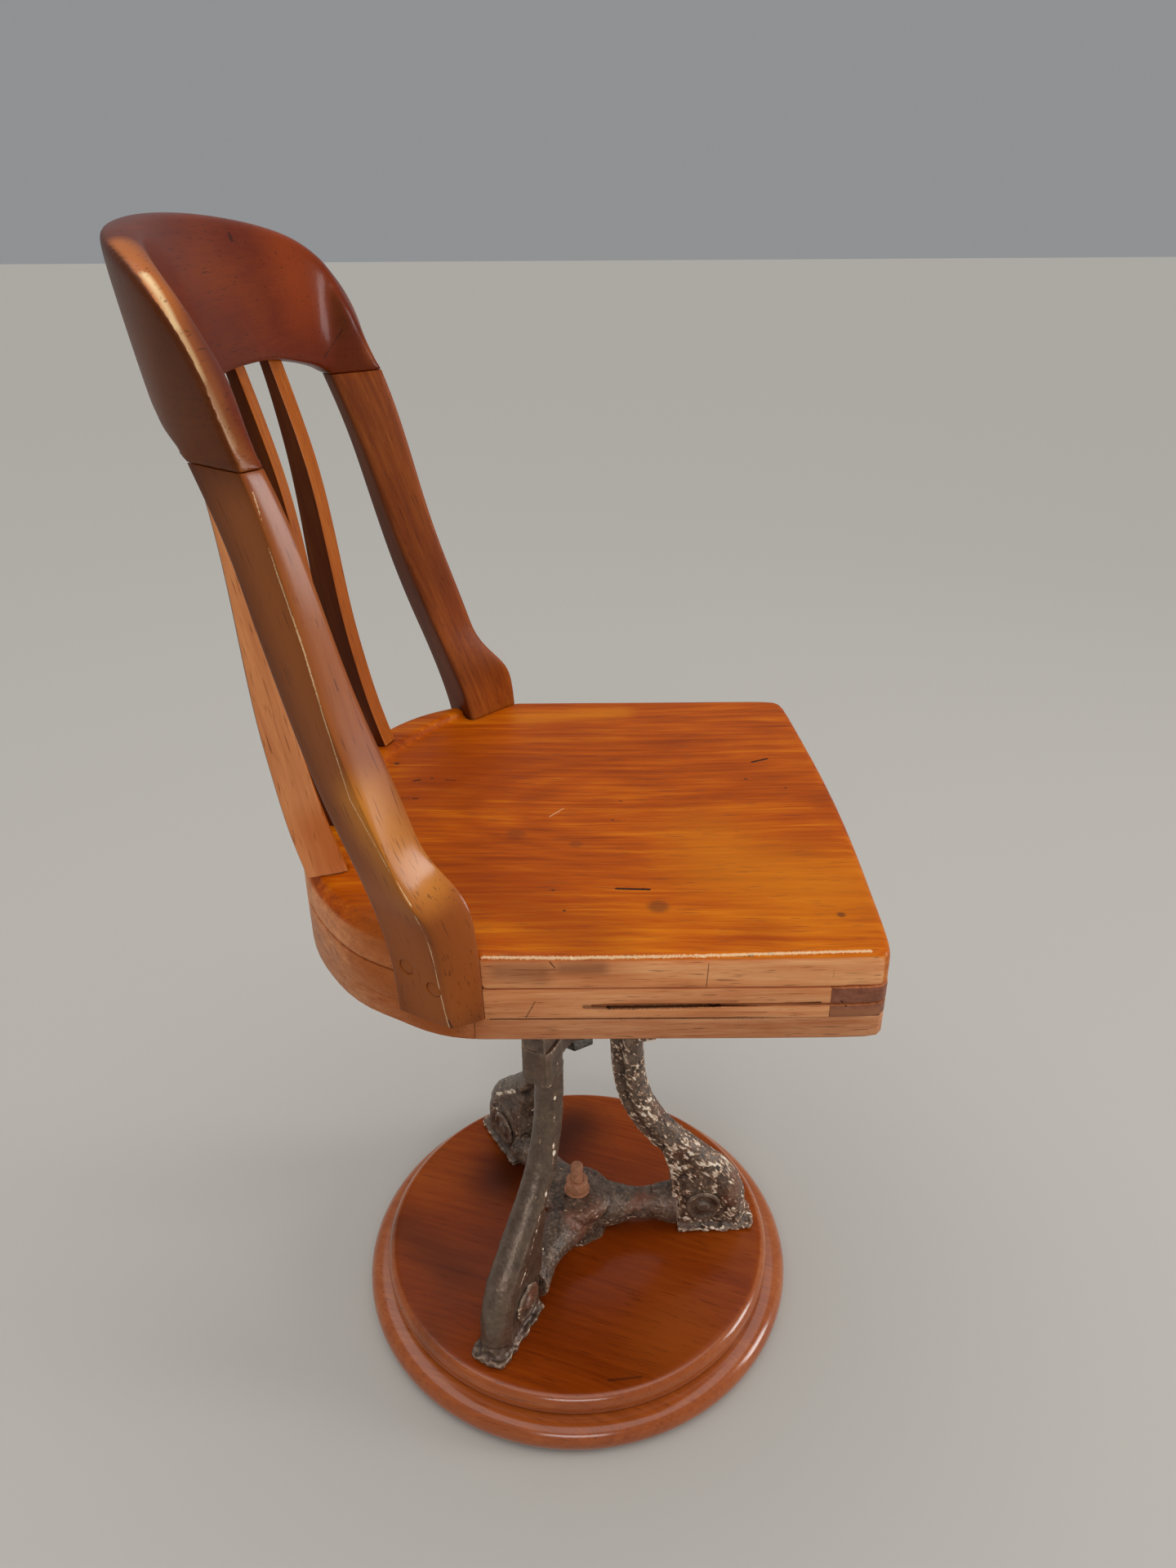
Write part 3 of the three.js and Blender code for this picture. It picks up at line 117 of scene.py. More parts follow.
# %% [markdown]
# ## The studio
# The floor is plain and pale. A soft lamp the size of a window stands five metres in front of
# the chair: the highlights on the posts, the crest rail and the plinth all mirror that spot. A
# lower and wider one, high on the near side, makes the thin highlights on the arrises. Both
# throw a narrow beam, so that they leave no patch on the floor. A very wide sun overhead stands
# for a bright ceiling, and the pale world lifts what is left.

# %% Floor, world and lamps
floor_half = 20
floor_colour = (0.49, 0.465, 0.42, 1)
floor_roughness = 0.9
world_colour = (0.90, 0.92, 0.95, 1)
world_strength = 0.31
aim = Vector((0, 0, 0.45))
beam_angle = math.radians(60)
window_place = (-0.2, -5.2, 1.6)
window_size = (1.6, 2.2)
window_power = 12.5
near_place = (-4.6, 0.1, 2.6)
near_size = (2.4, 1.0)
near_power = 6.2
ceiling_strength = 1.7
ceiling_angle = math.radians(84)


def lit_world():
    world = bpy.data.worlds.new("pale_room")
    world.use_nodes = True
    sky = world.node_tree.nodes["Background"]
    sky.inputs["Color"].default_value = world_colour
    sky.inputs["Strength"].default_value = world_strength
    bpy.context.scene.world = world


def soft_lamp(name, place, size, power):
    lamp = bpy.data.lights.new(name, "AREA")
    lamp.shape = "RECTANGLE"
    lamp.size, lamp.size_y = size
    lamp.spread = beam_angle
    lamp.energy = power
    stand = bpy.data.objects.new(name, lamp)
    bpy.context.scene.collection.objects.link(stand)
    stand.location = place
    stand.visible_camera = False
    stand.rotation_euler = (aim - Vector(place)).to_track_quat("-Z", "Y").to_euler()


def bright_ceiling():
    sun = bpy.data.lights.new("ceiling", "SUN")
    sun.energy = ceiling_strength
    sun.angle = ceiling_angle
    bpy.context.scene.collection.objects.link(bpy.data.objects.new("ceiling", sun))


def plain_floor():
    bpy.ops.object.select_all(action="DESELECT")
    bpy.ops.mesh.primitive_plane_add(size=2 * floor_half)
    floor = bpy.context.object
    floor.name = "studio_floor"
    paint = bpy.data.materials.new("studio_floor")
    paint.use_nodes = True
    shader = paint.node_tree.nodes["Principled BSDF"]
    shader.inputs["Base Color"].default_value = floor_colour
    shader.inputs["Roughness"].default_value = floor_roughness
    floor.data.materials.append(paint)


lit_world()
plain_floor()
soft_lamp("window_lamp", window_place, window_size, window_power)
soft_lamp("near_lamp", near_place, near_size, near_power)
bright_ceiling()


# %% [markdown]
# ## Finishes as Python expressions
# A procedural finish is a tree of nodes, and most of its nodes are plain sums. A small class
# wraps a socket, so that Python's operators add the Math nodes: `1 - mask * 0.5` is a field
# over the surface. Everything else goes through one method, `node`, which takes a node's
# type, its settings and what its sockets hold.

# %% A socket that can be used in sums
class Field:
    def __init__(self, finish, socket):
        self.finish = finish
        self.socket = socket

    def maths(self, operation, *values, clamp=False):
        settings = {"operation": operation, "use_clamp": clamp}
        return self.finish.node("ShaderNodeMath", settings, values)

    def __add__(self, other):
        return self.maths("ADD", self, other)

    def __sub__(self, other):
        return self.maths("SUBTRACT", self, other)

    def __rsub__(self, other):
        return self.maths("SUBTRACT", other, self)

    def __mul__(self, other):
        return self.maths("MULTIPLY", self, other)

    def __truediv__(self, other):
        return self.maths("DIVIDE", self, other)

    def __pow__(self, other):
        return self.maths("POWER", self, other)

    __radd__ = __add__
    __rmul__ = __mul__

    def clamped(self):
        return self.maths("ADD", self, 0, clamp=True)


# %% A material that is built from fields
class Finish:
    def __init__(self, name):
        self.material = bpy.data.materials.new(name)
        self.material.use_nodes = True
        self.tree = self.material.node_tree
        self.tree.nodes.clear()
        self.surface = self.tree.nodes.new("ShaderNodeBsdfPrincipled")
        output = self.tree.nodes.new("ShaderNodeOutputMaterial")
        self.tree.links.new(self.surface.outputs["BSDF"], output.inputs["Surface"])

    def join(self, value, socket):
        if isinstance(value, Field):
            self.tree.links.new(value.socket, socket)
        else:
            socket.default_value = value

    def node(self, kind, settings, sockets, out=0):
        made = self.tree.nodes.new(kind)
        for name, value in settings.items():
            if name == "stops":
                self.set_stops(made.color_ramp, value)
            else:
                setattr(made, name, value)
        pairs = sockets.items() if isinstance(sockets, dict) else enumerate(sockets)
        for key, value in pairs:
            self.join(value, made.inputs[key])
        return Field(self, made.outputs[out])

    def set_stops(self, ramp, stops):
        while len(ramp.elements) < len(stops):
            ramp.elements.new(1)
        for element, (position, colour) in zip(ramp.elements, stops):
            element.position = position
            element.color = colour

    def place(self):
        return self.node("ShaderNodeTexCoord", {}, [], "Object")

    def facing(self, direction, low=0.25, high=0.6):
        """1 where the surface faces that way, 0 where it doesn't."""
        normal = self.node("ShaderNodeTexCoord", {}, [], "Normal")
        return self.step(self.dot(normal, tuple(Vector(direction).normalized())), low, high)

    def dot(self, vector, direction):
        settings = {"operation": "DOT_PRODUCT"}
        return self.node("ShaderNodeVectorMath", settings, [vector, direction], "Value")

    def vector(self, x, y, z):
        return self.node("ShaderNodeCombineXYZ", {}, [x, y, z])

    def noise(self, vector, scale, detail=2, roughness=0.5):
        sockets = {"Vector": vector, "Scale": scale, "Detail": detail, "Roughness": roughness}
        return self.node("ShaderNodeTexNoise", {}, sockets, "Fac")

    def line_noise(self, value, detail):
        sockets = {"W": value, "Scale": 1, "Detail": detail}
        return self.node("ShaderNodeTexNoise", {"noise_dimensions": "1D"}, sockets)

    def step(self, value, low, high):
        settings = {"interpolation_type": "SMOOTHSTEP"}
        return self.node("ShaderNodeMapRange", settings, [value, low, high, 0, 1])

    def blend(self, mask, first, second):
        settings = {"data_type": "RGBA", "clamp_factor": True}
        return self.node("ShaderNodeMix", settings, {0: mask, 6: first, 7: second}, 2)

    def ramp(self, value, stops):
        return self.node("ShaderNodeValToRGB", {"stops": stops}, [value])

    def bump(self, height, distance, strength):
        sockets = {"Height": height, "Distance": distance, "Strength": strength}
        return self.node("ShaderNodeBump", {}, sockets)

    def set(self, **values):
        for name, value in values.items():
            self.join(value, self.surface.inputs[name.replace("_", " ")])
        return self.material


def shade(red, green, blue):
    """A colour as a picture shows it, 0 to 255, as the linear light that nodes work in."""
    light = [c / 255 for c in (red, green, blue)]
    return (*[c / 12.92 if c <= 0.04045 else ((c + 0.055) / 1.055) ** 2.4 for c in light], 1)


# %% [markdown]
# ## Marks
# A crack or scratch is a line between two points, and a knot is a round spot. Both come from
# the distance to a stretch of line, which Vector Math nodes work out at each place.

# %% Distance to a stretch of line
least_span = 1e-9
ragged_scale = 900


def near_line(finish, place, start, end, width, ragged=0.0, reach=0.4):
    """1 on the line from start to end, falling to 0 at that width from it. It starts to fall
    at that share of the width, which is reach."""
    span = Vector(end) - Vector(start)
    settings = {"operation": "SUBTRACT"}
    offset = finish.node("ShaderNodeVectorMath", settings, [place, tuple(start)])
    share = (finish.dot(offset, tuple(span)) / max(span.length_squared, least_span)).clamped()
    along = finish.node(
        "ShaderNodeVectorMath", {"operation": "SCALE"}, {0: tuple(span), "Scale": share}
    )
    aside = finish.node("ShaderNodeVectorMath", settings, [offset, along])
    distance = finish.node("ShaderNodeVectorMath", {"operation": "LENGTH"}, [aside], "Value")
    if ragged:
        distance = distance + (finish.noise(place, ragged_scale) - 0.5) * ragged
    return 1 - finish.step(distance, width * reach, width)


def stretches(pixels, *looks):
    """A bent line as straight stretches, each with the same width and depth."""
    return tuple((pair, *looks) for pair in zip(pixels, pixels[1:]))


# %% [markdown]
# ## Varnished wood
# The chair is made of a brown hardwood under old, amber varnish. Its grain is fine and runs
# straight along each board: ribbons a few millimetres wide and much longer, with short dark
# pores. All of that is noise that is drawn out along the board. The tree's rings show only as
# faint bands, read from the distance to the tree's heart, which lies along the board and a
# hand's breadth under it. Varnish turns redder and darker in large, soft patches. A board
# also takes its stain differently on each side, so a finish can hold more sets of tones, each
# for the faces that look one way. On the posts, the slats and the crest rail the darker tones
# of the faces that look away from the lamps are painted shade, and the paler ones of the near
# slat's outer side are painted light.

# %% The tones of a wood
class Wood:
    """gloss is the varnish's roughness. figure, streaks and patch say how far the rings, the
    ribbons and the soft patches show. coat is how much clear varnish lies on top."""

    def __init__(
        self, dark, middle, light, gloss=0.36, figure=0.3, streaks=1.0, patch=0.8, coat=0.12
    ):
        self.tones = (dark, middle, light)
        self.gloss = gloss
        self.figure = figure
        self.streaks = streaks
        self.patch = patch
        self.coat = coat


tone_stops = (0.06, 0.5, 0.94)


def toned(finish, tone, wood):
    return finish.ramp(tone, list(zip(tone_stops, wood.tones)))


def darker(colour, share):
    return (*[c * share for c in colour[:3]], 1)


# %% The grain
meander_scale = 11
meander_width = 0.016
meander_draw = 0.45
ribbon_scale = 170
ribbon_detail = 5
ribbon_roughness = 0.72
ribbon_draw = 0.045
pore_scale = 900
pore_draw = 0.05
pore_range = (0.63, 0.74)
bend_scale = 7
bend_width = 0.05
bend_draw = 0.3
heart_tilt = 0.035
ring_scale = 330
patch_scale = 8
patch_roughness = 0.6
patch_draw = 0.55


def grained(finish, place, along, face, heart):
    """The fields that all varnished wood shares: rings, ribbons, pores and patches. A draw
    below 1 draws a noise out along the board."""
    along = Vector(along).normalized()
    face = Vector(face)
    face = (face - along * face.dot(along)).normalized()
    aside = along.cross(face)
    run = finish.dot(place, tuple(along))
    depth = finish.dot(place, tuple(face))
    across = finish.dot(place, tuple(aside))
    meander = finish.noise(finish.vector(across, run * meander_draw, depth), meander_scale) - 0.5
    side = across + meander * meander_width
    ribbons = finish.noise(
        finish.vector(side, run * ribbon_draw, depth), ribbon_scale, ribbon_detail,
        ribbon_roughness,
    )
    pores = finish.noise(finish.vector(side, run * pore_draw, depth), pore_scale, 1)
    bend = finish.noise(finish.vector(across, run * bend_draw, depth), bend_scale) - 0.5
    below = depth + heart + run * heart_tilt
    reach = ((side + bend * bend_width) ** 2 + below * below) ** 0.5
    rings = finish.line_noise(reach * ring_scale, 2)
    patches = finish.noise(
        finish.vector(across, run * patch_draw, depth), patch_scale, 3, patch_roughness
    )
    return rings, ribbons, finish.step(pores, *pore_range), patches


# %% Stains, tints and painted light and shade
def tinted(finish, place, colour, tints):
    """Each tint is (pixels, radius, colour, strength)."""
    for pixels, radius, tint, strength in tints:
        ends = [seen_at(pixel) for pixel in pixels]
        there = near_line(finish, place, ends[0], ends[-1], radius, reach=0.0)
        colour = finish.blend(there * strength, colour, tint)
    return colour


# %% The varnish over it
varnish_specular = 0.10
coat_roughness = 0.15
# Dark of cracks, seams and nicks, and of the painted shade in the slit along the seat's side.
crack_and_shade_dark = shade(30, 14, 8)
# Pale wood where arrises are worn; on the seat's near edge it is also a painted highlight.
wear_and_highlight_pale = shade(240, 208, 162)
pore_dark_share = 0.4
spot_dark_share = 0.3
pore_strength = 0.5
patch_gloss = 0.14
ribbon_gloss = 0.12
grain_height = 0.0003
ribbon_height = 0.5
ring_height = 0.2
mark_ragged = 0.7
spot_ragged = 0.5
pale_ragged = 1.6
mark_hollow = 2
grain_strength = 0.5


def varnished(
    name, along, face, wood, heart=0.16, faces=(), stains_and_highlights=(), tints=(), marks=(), spots=(),
    pale_lines=(),
):
    """faces: (direction, wood, limits) for the faces that look another way, over the stains and
    highlights and under the tints. Stains and highlights, tints, marks, spots and pale_lines lie
    at the photograph's pixels. A mark or pale line is (pixels, width, depth) and a spot is
    (pixel, radius, depth)."""
    finish = Finish(name)
    place = finish.place()
    rings, ribbons, pores, patches = grained(finish, place, along, face, heart)
    tone = 0.5 + (rings - 0.5) * wood.figure + (ribbons - 0.5) * wood.streaks
    tone = tone + (patches - 0.5) * wood.patch
    colour = tinted(finish, place, toned(finish, tone, wood), stains_and_highlights)
    coat = wood.coat
    for direction, other, *limits in faces:
        there = finish.facing(direction, *limits)
        colour = finish.blend(there, colour, toned(finish, tone, other))
        coat = there * (other.coat - wood.coat) + coat
    colour = tinted(finish, place, colour, tints)
    dark = wood.tones[0]
    hollow = pores * pore_strength
    colour = finish.blend(hollow, colour, darker(dark, pore_dark_share))
    for pixels, width, depth in marks:
        ends = [seen_at(pixel) for pixel in pixels]
        mark = near_line(finish, place, *ends, width, ragged=width * mark_ragged) * depth
        colour = finish.blend(mark, colour, crack_and_shade_dark)
        hollow = hollow + mark * mark_hollow
    for pixel, radius, depth in spots:
        centre = seen_at(pixel)
        ragged = radius * spot_ragged
        spot = near_line(finish, place, centre, centre, radius, ragged=ragged) * depth
        colour = finish.blend(spot, colour, darker(dark, spot_dark_share))
    for pixels, width, depth in pale_lines:
        ends = [seen_at(pixel) for pixel in pixels]
        mark = near_line(finish, place, *ends, width, ragged=width * pale_ragged) * depth
        colour = finish.blend(mark, colour, wear_and_highlight_pale)
    height = ribbons * ribbon_height + rings * ring_height - hollow
    return finish.set(
        Base_Color=colour,
        Roughness=wood.gloss + (patches - 0.5) * patch_gloss + (ribbons - 0.5) * ribbon_gloss,
        Normal=finish.bump(height, grain_height, grain_strength),
        Coat_Weight=coat,
        Coat_Roughness=coat_roughness,
        Specular_IOR_Level=varnish_specular,
    )


# %% The seat's woods
bare_side = {"gloss": 0.44, "streaks": 1.1, "patch": 1.0, "coat": 0.0}
seat_wood = Wood(
    shade(112, 34, 0), shade(178, 78, 0), shade(224, 128, 10),
    gloss=0.40, figure=0.4, streaks=1.9, patch=0.9, coat=0.0,
)
edge_wood = Wood(shade(110, 44, 4), shade(166, 80, 14), shade(206, 122, 40), gloss=0.38)
side_wood = Wood(shade(134, 76, 46), shade(200, 126, 78), shade(232, 170, 118), **bare_side)
board_wood = Wood(shade(148, 84, 50), shade(214, 136, 84), shade(242, 182, 126), **bare_side)
under_wood = Wood(shade(112, 62, 38), shade(176, 108, 68), shade(208, 148, 104), **bare_side)
end_wood = Wood(
    shade(92, 50, 34), shade(138, 84, 62), shade(172, 114, 84),
    gloss=0.46, figure=0.4, streaks=0.6, patch=0.6,
)
print("seat gloss", seat_wood.gloss, "side gloss", side_wood.gloss)

# %% The woods of the back and the plinth
post_wood = Wood(
    shade(98, 36, 2), shade(144, 66, 10), shade(186, 102, 30),
    gloss=0.34, figure=0.2, streaks=0.7, coat=0.4,
)
far_post_wood = Wood(
    shade(92, 34, 0), shade(136, 60, 4), shade(180, 96, 20),
    gloss=0.42, figure=0.2, streaks=0.9, patch=0.9, coat=0.04,
)
# Darker tones for the faces that look away from the lamps: painted shade.
painted_shade_wood = Wood(
    shade(56, 20, 2), shade(92, 42, 12), shade(124, 66, 26),
    gloss=0.42, figure=0.2, streaks=0.7, coat=0.0,
)
crest_wood = Wood(
    shade(80, 22, 0), shade(108, 34, 0), shade(148, 64, 6),
    gloss=0.38, figure=0.1, streaks=0.3, patch=1.0, coat=0.16,
)
slat_wood = Wood(
    shade(124, 56, 12), shade(176, 92, 28), shade(212, 132, 56), figure=0.2, streaks=0.7
)
# Paler tones for the near slat's side that faces the near lamp: painted light.
painted_light_wood = Wood(
    shade(170, 98, 58), shade(212, 138, 86), shade(234, 168, 116),
    gloss=0.44, figure=0.2, streaks=0.6, patch=0.6, coat=0.0,
)
bare_wood = Wood(shade(170, 100, 54), shade(212, 146, 92), shade(236, 186, 136), gloss=0.42)
plinth_wood = Wood(
    shade(80, 22, 0), shade(134, 54, 6), shade(174, 86, 20),
    gloss=0.34, figure=0.2, streaks=0.4, patch=1.0, coat=0.06,
)
rim_wood = Wood(
    shade(112, 44, 6), shade(158, 78, 28), shade(194, 116, 56),
    gloss=0.30, figure=0.2, streaks=0.5, coat=1.0,
)
print("post gloss", post_wood.gloss, "plinth gloss", plinth_wood.gloss)


# %% [markdown]
# ## Old cast iron
# The castings were painted more than once, and then the paint chipped. Under the dirt there
# is grey-brown iron with soft clouds of rust. Cream paint is left in small flakes with tan
# edges, thickest on the ridges and on the relief of the flanks, and drawn out along the leg.
# Geometry's Pointiness tells a ridge from a hollow, and noise breaks the flakes up. Old oil
# keeps the lumps glossy, so they glitter.

# %% The iron finish
iron_tones = [(0.2, shade(54, 42, 34)), (0.5, shade(108, 88, 72)), (0.85, shade(160, 136, 116))]
rust_tone = shade(128, 78, 56)
paint_tones = [
    (0.575, shade(134, 92, 66)), (0.63, shade(188, 148, 116)), (0.68, shade(240, 226, 204)),
]
ridge_range = (0.47, 0.56)
rust_range = (0.5, 0.7)
paint_range = (0.575, 0.60)
lump_scale = 80
grit_scale = 460
cloud_scale = 22
flake_scale = 290
zone_scale = 30
flake_draw = 0.6
ridge_weight = 0.16
zone_weight = 0.26
chip_weight = 0.2
line_weight = 0.18
rust_grit_weight = 0.4
tan_grit_weight = 0.05
ridge_light = 0.4
rubbed_calm = 0.65
rubbed_flat = 0.7
iron_rough = 0.34
grit_rough = 0.3
paint_rough = 0.1
iron_metallic = 0.15
rubbed_metallic = 0.35
iron_bump = 0.0012
iron_strength = 0.9


def old_iron(name, chips, along=(0, 0, 1), sheen=0.0, rust=0.35, flaked_lines=()):
    """chips is how much paint is left, sheen how far the metal is rubbed smooth."""
    mottle = 1 - rubbed_calm * sheen
    finish = Finish(name)
    place = finish.place()
    ridge = finish.node("ShaderNodeNewGeometry", {}, [], "Pointiness")
    ridge = finish.step(ridge, *ridge_range)
    lumps = finish.noise(place, lump_scale, 4, 0.6)
    grit = finish.noise(place, grit_scale, 3, 0.6)
    cloud = finish.noise(place, cloud_scale)
    tone = 0.5 + (lumps - 0.5) * mottle + (ridge - 0.5) * ridge_light
    metal = finish.ramp(tone, iron_tones)
    rusty = finish.step(cloud + (grit - 0.5) * rust_grit_weight, *rust_range) * (rust * mottle)
    metal = finish.blend(rusty, metal, rust_tone)
    along = Vector(along).normalized()
    settings = {"operation": "SCALE"}
    run = finish.dot(place, tuple(along))
    sockets = {0: tuple(along), "Scale": run * -flake_draw}
    back = finish.node("ShaderNodeVectorMath", settings, sockets)
    drawn = finish.node("ShaderNodeVectorMath", {"operation": "ADD"}, [place, back])
    flakes = finish.noise(drawn, flake_scale, 4, 0.62)
    zones = finish.noise(place, zone_scale)
    left = flakes + (ridge - 0.5) * ridge_weight + (zones - 0.5) * zone_weight
    left = left + (chips - 0.5) * chip_weight
    for pixels, width in flaked_lines:
        ends = [seen_at(pixel) for pixel in pixels]
        left = left + near_line(finish, place, *ends, width, ragged=width) * line_weight
    paint = finish.step(left, *paint_range)
    cream = finish.ramp(left + (grit - 0.5) * tan_grit_weight, paint_tones)
    height = grit * 0.7 + lumps * 0.8 + paint * 0.3
    return finish.set(
        Base_Color=finish.blend(paint, metal, cream),
        Roughness=iron_rough + (grit - 0.5) * grit_rough + paint * paint_rough,
        Metallic=(1 - paint) * (iron_metallic + rubbed_metallic * sheen),
        Normal=finish.bump(height, iron_bump, iron_strength - rubbed_flat * sheen),
    )


# %% The finish of steel and bronze
metal_bump = 0.0005
metal_strength = 0.5
thread_height = 0.25
grit_share = 0.6


def plain_metal(name, dark, light, metallic, rough, scale=300, thread=0.0):
    """thread is the pitch of a screw thread that runs up the piece."""
    finish = Finish(name)
    place = finish.place()
    grit = finish.noise(place, scale, 3, 0.6)
    cloud = finish.noise(place, scale / 9)
    tone = grit * grit_share + cloud * (1 - grit_share)
    height = grit
    if thread:
        turns = finish.dot(place, (0, 0, 2 * math.pi / thread))
        turn = finish.node("ShaderNodeMath", {"operation": "SINE"}, [turns])
        height = height + turn * thread_height
    return finish.set(
        Base_Color=finish.ramp(tone, [(0.3, dark), (0.7, light)]),
        Roughness=rough + (grit - 0.5) * grit_rough,
        Metallic=metallic,
        Normal=finish.bump(height, metal_bump, metal_strength),
    )


# %% The metals
near_flange_pixels = (
    (683, 1302), (680, 1345), (679, 1411), (669, 1462), (657, 1508), (643, 1560), (637, 1576),
)
near_flange = stretches(near_flange_pixels, 0.0022)
far_bars = ((((604, 1356), (652, 1359)), 0.0025), (((606, 1340), (630, 1336)), 0.003))
iron_front = old_iron("iron_front_leg", chips=0.84, along=(0, -0.72, -0.7), rust=0.7)
iron_near = old_iron(
    "iron_near_leg", chips=0.0, along=(-0.6, 0.3, -0.74), sheen=0.8, flaked_lines=near_flange
)
iron_far = old_iron("iron_far_leg", chips=0.3, along=(0.6, 0.4, -0.7), flaked_lines=far_bars)
iron_tie = old_iron("iron_tie", chips=0.3, along=(0, 1, 0), rust=0.9)
iron_dark = old_iron("iron_under_seat", chips=0.1, sheen=0.3)
rust_tones = (shade(136, 84, 54), shade(200, 140, 104))
steel_tones = (shade(70, 66, 62), shade(150, 146, 140))
bronze_tones = (shade(104, 72, 34), shade(176, 132, 70))
thread_pitch = 0.00175
rusty_steel = plain_metal("rusty_steel", *rust_tones, metallic=0.1, rough=0.6)
rusty_thread = plain_metal(
    "rusty_thread", *rust_tones, metallic=0.1, rough=0.6, thread=thread_pitch
)
bare_steel = plain_metal("bare_steel", *steel_tones, metallic=0.9, rough=0.34)
bronze = plain_metal("bearing_bronze", *bronze_tones, metallic=0.9, rough=0.36)
print("materials", len(bpy.data.materials))


# %% [markdown]
# ## Working on a copy
# Most pieces have the right shape already, but their faces are flat and their edges sharp. A
# copy is taken, its loose triangles are merged, and modifiers do what a file and sandpaper
# did on the real one. Edges that turn by more than a given angle are creased first, so that
# Subdivision Surface rounds the long curves and leaves the arrises where they are.

# %% Copy a node and merge it
merge_distance = 0.00002


def only(piece):
    bpy.ops.object.select_all(action="DESELECT")
    piece.select_set(True)
    bpy.context.view_layer.objects.active = piece


def merged_copy(node, name):
    source = frame["nodes"][node]
    piece = bpy.data.objects.new(name, source.data.copy())
    bpy.context.scene.collection.objects.link(piece)
    piece.data.materials.clear()
    only(piece)
    bpy.ops.object.mode_set(mode="EDIT")
    bpy.ops.mesh.select_all(action="SELECT")
    bpy.ops.mesh.customdata_custom_splitnormals_clear()
    bpy.ops.mesh.remove_doubles(threshold=merge_distance)
    bpy.ops.object.mode_set(mode="OBJECT")
    return piece


def applied(piece, kind, **settings):
    """Adds a modifier with these settings and applies it."""
    modifier = piece.modifiers.new(kind.lower(), kind)
    for name, value in settings.items():
        setattr(modifier, name, value)
    only(piece)
    bpy.ops.object.modifier_apply(modifier=modifier.name)
    return piece


# %% Round the long curves
flat_angle = 0.6
shape_angle = 0.9


def rounded_curves(piece, crease_angle, levels):
    only(piece)
    bpy.ops.object.mode_set(mode="EDIT")
    bpy.ops.mesh.select_all(action="SELECT")
    bpy.ops.mesh.tris_convert_to_quads(face_threshold=flat_angle, shape_threshold=shape_angle)
    bpy.ops.mesh.select_mode(type="EDGE")
    bpy.ops.mesh.select_all(action="DESELECT")
    bpy.ops.mesh.edges_select_sharp(sharpness=crease_angle)
    bpy.ops.transform.edge_crease(value=1)
    bpy.ops.mesh.select_mode(type="VERT")
    bpy.ops.object.mode_set(mode="OBJECT")
    return applied(piece, "SUBSURF", levels=levels, render_levels=levels)


# %% Wear and sand the arrises
fine_edge = math.radians(35)
sanding_start = 0.004
smooth_factor = 0.5


def worn_arrises(piece, width, angle=fine_edge, segments=2, worn_slot=0):
    return applied(
        piece, "BEVEL", width=width, segments=segments, limit_method="ANGLE",
        angle_limit=angle, material=worn_slot, use_clamp_overlap=True, harden_normals=False,
    )


def softened(piece, voxel, passes):
    """Rounds every arris as sandpaper does, but for those round the underside."""
    level = min(v.co.z for v in piece.data.vertices) + sanding_start
    applied(piece, "REMESH", mode="VOXEL", voxel_size=voxel, use_smooth_shade=True)
    above = piece.vertex_groups.new(name="sanded")
    above.add([v.index for v in piece.data.vertices if v.co.z > level], 1, "REPLACE")
    settings = {"factor": smooth_factor, "iterations": passes, "vertex_group": "sanded"}
    return applied(piece, "SMOOTH", **settings)


def smooth_by(piece, angle=fine_edge):
    only(piece)
    bpy.ops.object.shade_smooth_by_angle(angle=angle)
    return piece


# %% Give a piece its finish and its body, and hide its node
def dress(piece, node, slot, *finishes):
    for finish in finishes:
        piece.data.materials.append(finish)
    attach(piece, home[node])
    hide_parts(node)
    return piece


def triangles(piece):
    piece.data.calc_loop_triangles()
    return len(piece.data.loop_triangles)


# %% [markdown]
# ## The plinth
# Two discs are turned on a lathe and glued together. The lower one has a full round edge,
# the upper one a flatter round above a narrow foot, and that foot makes the groove between
# the two. A turned shape can be made as a turner sees it: start from the flat underside, pull
# the face up a little, and let its radius follow the edge's profile, step by step.

# %% Turn a disc by pulling its face up
disc_facets = 192


def turned_disc(name, profile):
    """profile is a list of (radius, height), from the underside to the top."""
    radius, height = profile[0]
    bpy.ops.object.select_all(action="DESELECT")
    bpy.ops.mesh.primitive_circle_add(
        vertices=disc_facets, radius=radius, fill_type="NGON", location=(0, 0, height)
    )
    disc = bpy.context.object
    disc.name = name
    bpy.ops.object.mode_set(mode="EDIT")
    bpy.ops.mesh.select_all(action="SELECT")
    for next_radius, next_height in profile[1:]:
        rise = next_height - height
        bpy.ops.mesh.extrude_region_move(TRANSFORM_OT_translate={"value": (0, 0, rise)})
        share = next_radius / radius
        bpy.ops.transform.resize(value=(share, share, 1), center_override=(0, 0, next_height))
        radius, height = next_radius, next_height
    bpy.ops.mesh.select_all(action="SELECT")
    bpy.ops.mesh.normals_make_consistent(inside=False)
    bpy.ops.object.mode_set(mode="OBJECT")
    only(disc)
    bpy.ops.object.transform_apply(location=True, rotation=True, scale=True)
    return disc


# %% The edges of the two discs
nose_steps = 18
foot_share = 0.985
belly_share = 0.42
flat_share = 0.935
flat_power = 0.8


def bull_nose(radius, low, high):
    """Half a circle from the underside to the top."""
    half = (high - low) / 2
    points = []
    for i in range(nose_steps + 1):
        angle = math.pi * i / nose_steps
        out = radius - half + half * math.sin(angle)
        points.append((out, low + half - half * math.cos(angle)))
    return points


def upper_edge(radius, low, high):
    """A low foot, then a round that runs far into the flat top. Its places are shares of the
    radius and of the height."""
    height = high - low
    points = [(radius * foot_share, low)]
    for i in range(1, nose_steps + 1):
        angle = math.pi * i / nose_steps
        if angle <= math.pi / 2:
            out = foot_share + (1 - foot_share) * math.sin(angle)
            up = belly_share * (1 - math.cos(angle))
        else:
            out = flat_share + (1 - flat_share) * math.sin(angle) ** flat_power
            up = belly_share - (1 - belly_share) * math.cos(angle)
        points.append((radius * out, low + height * up))
    return points


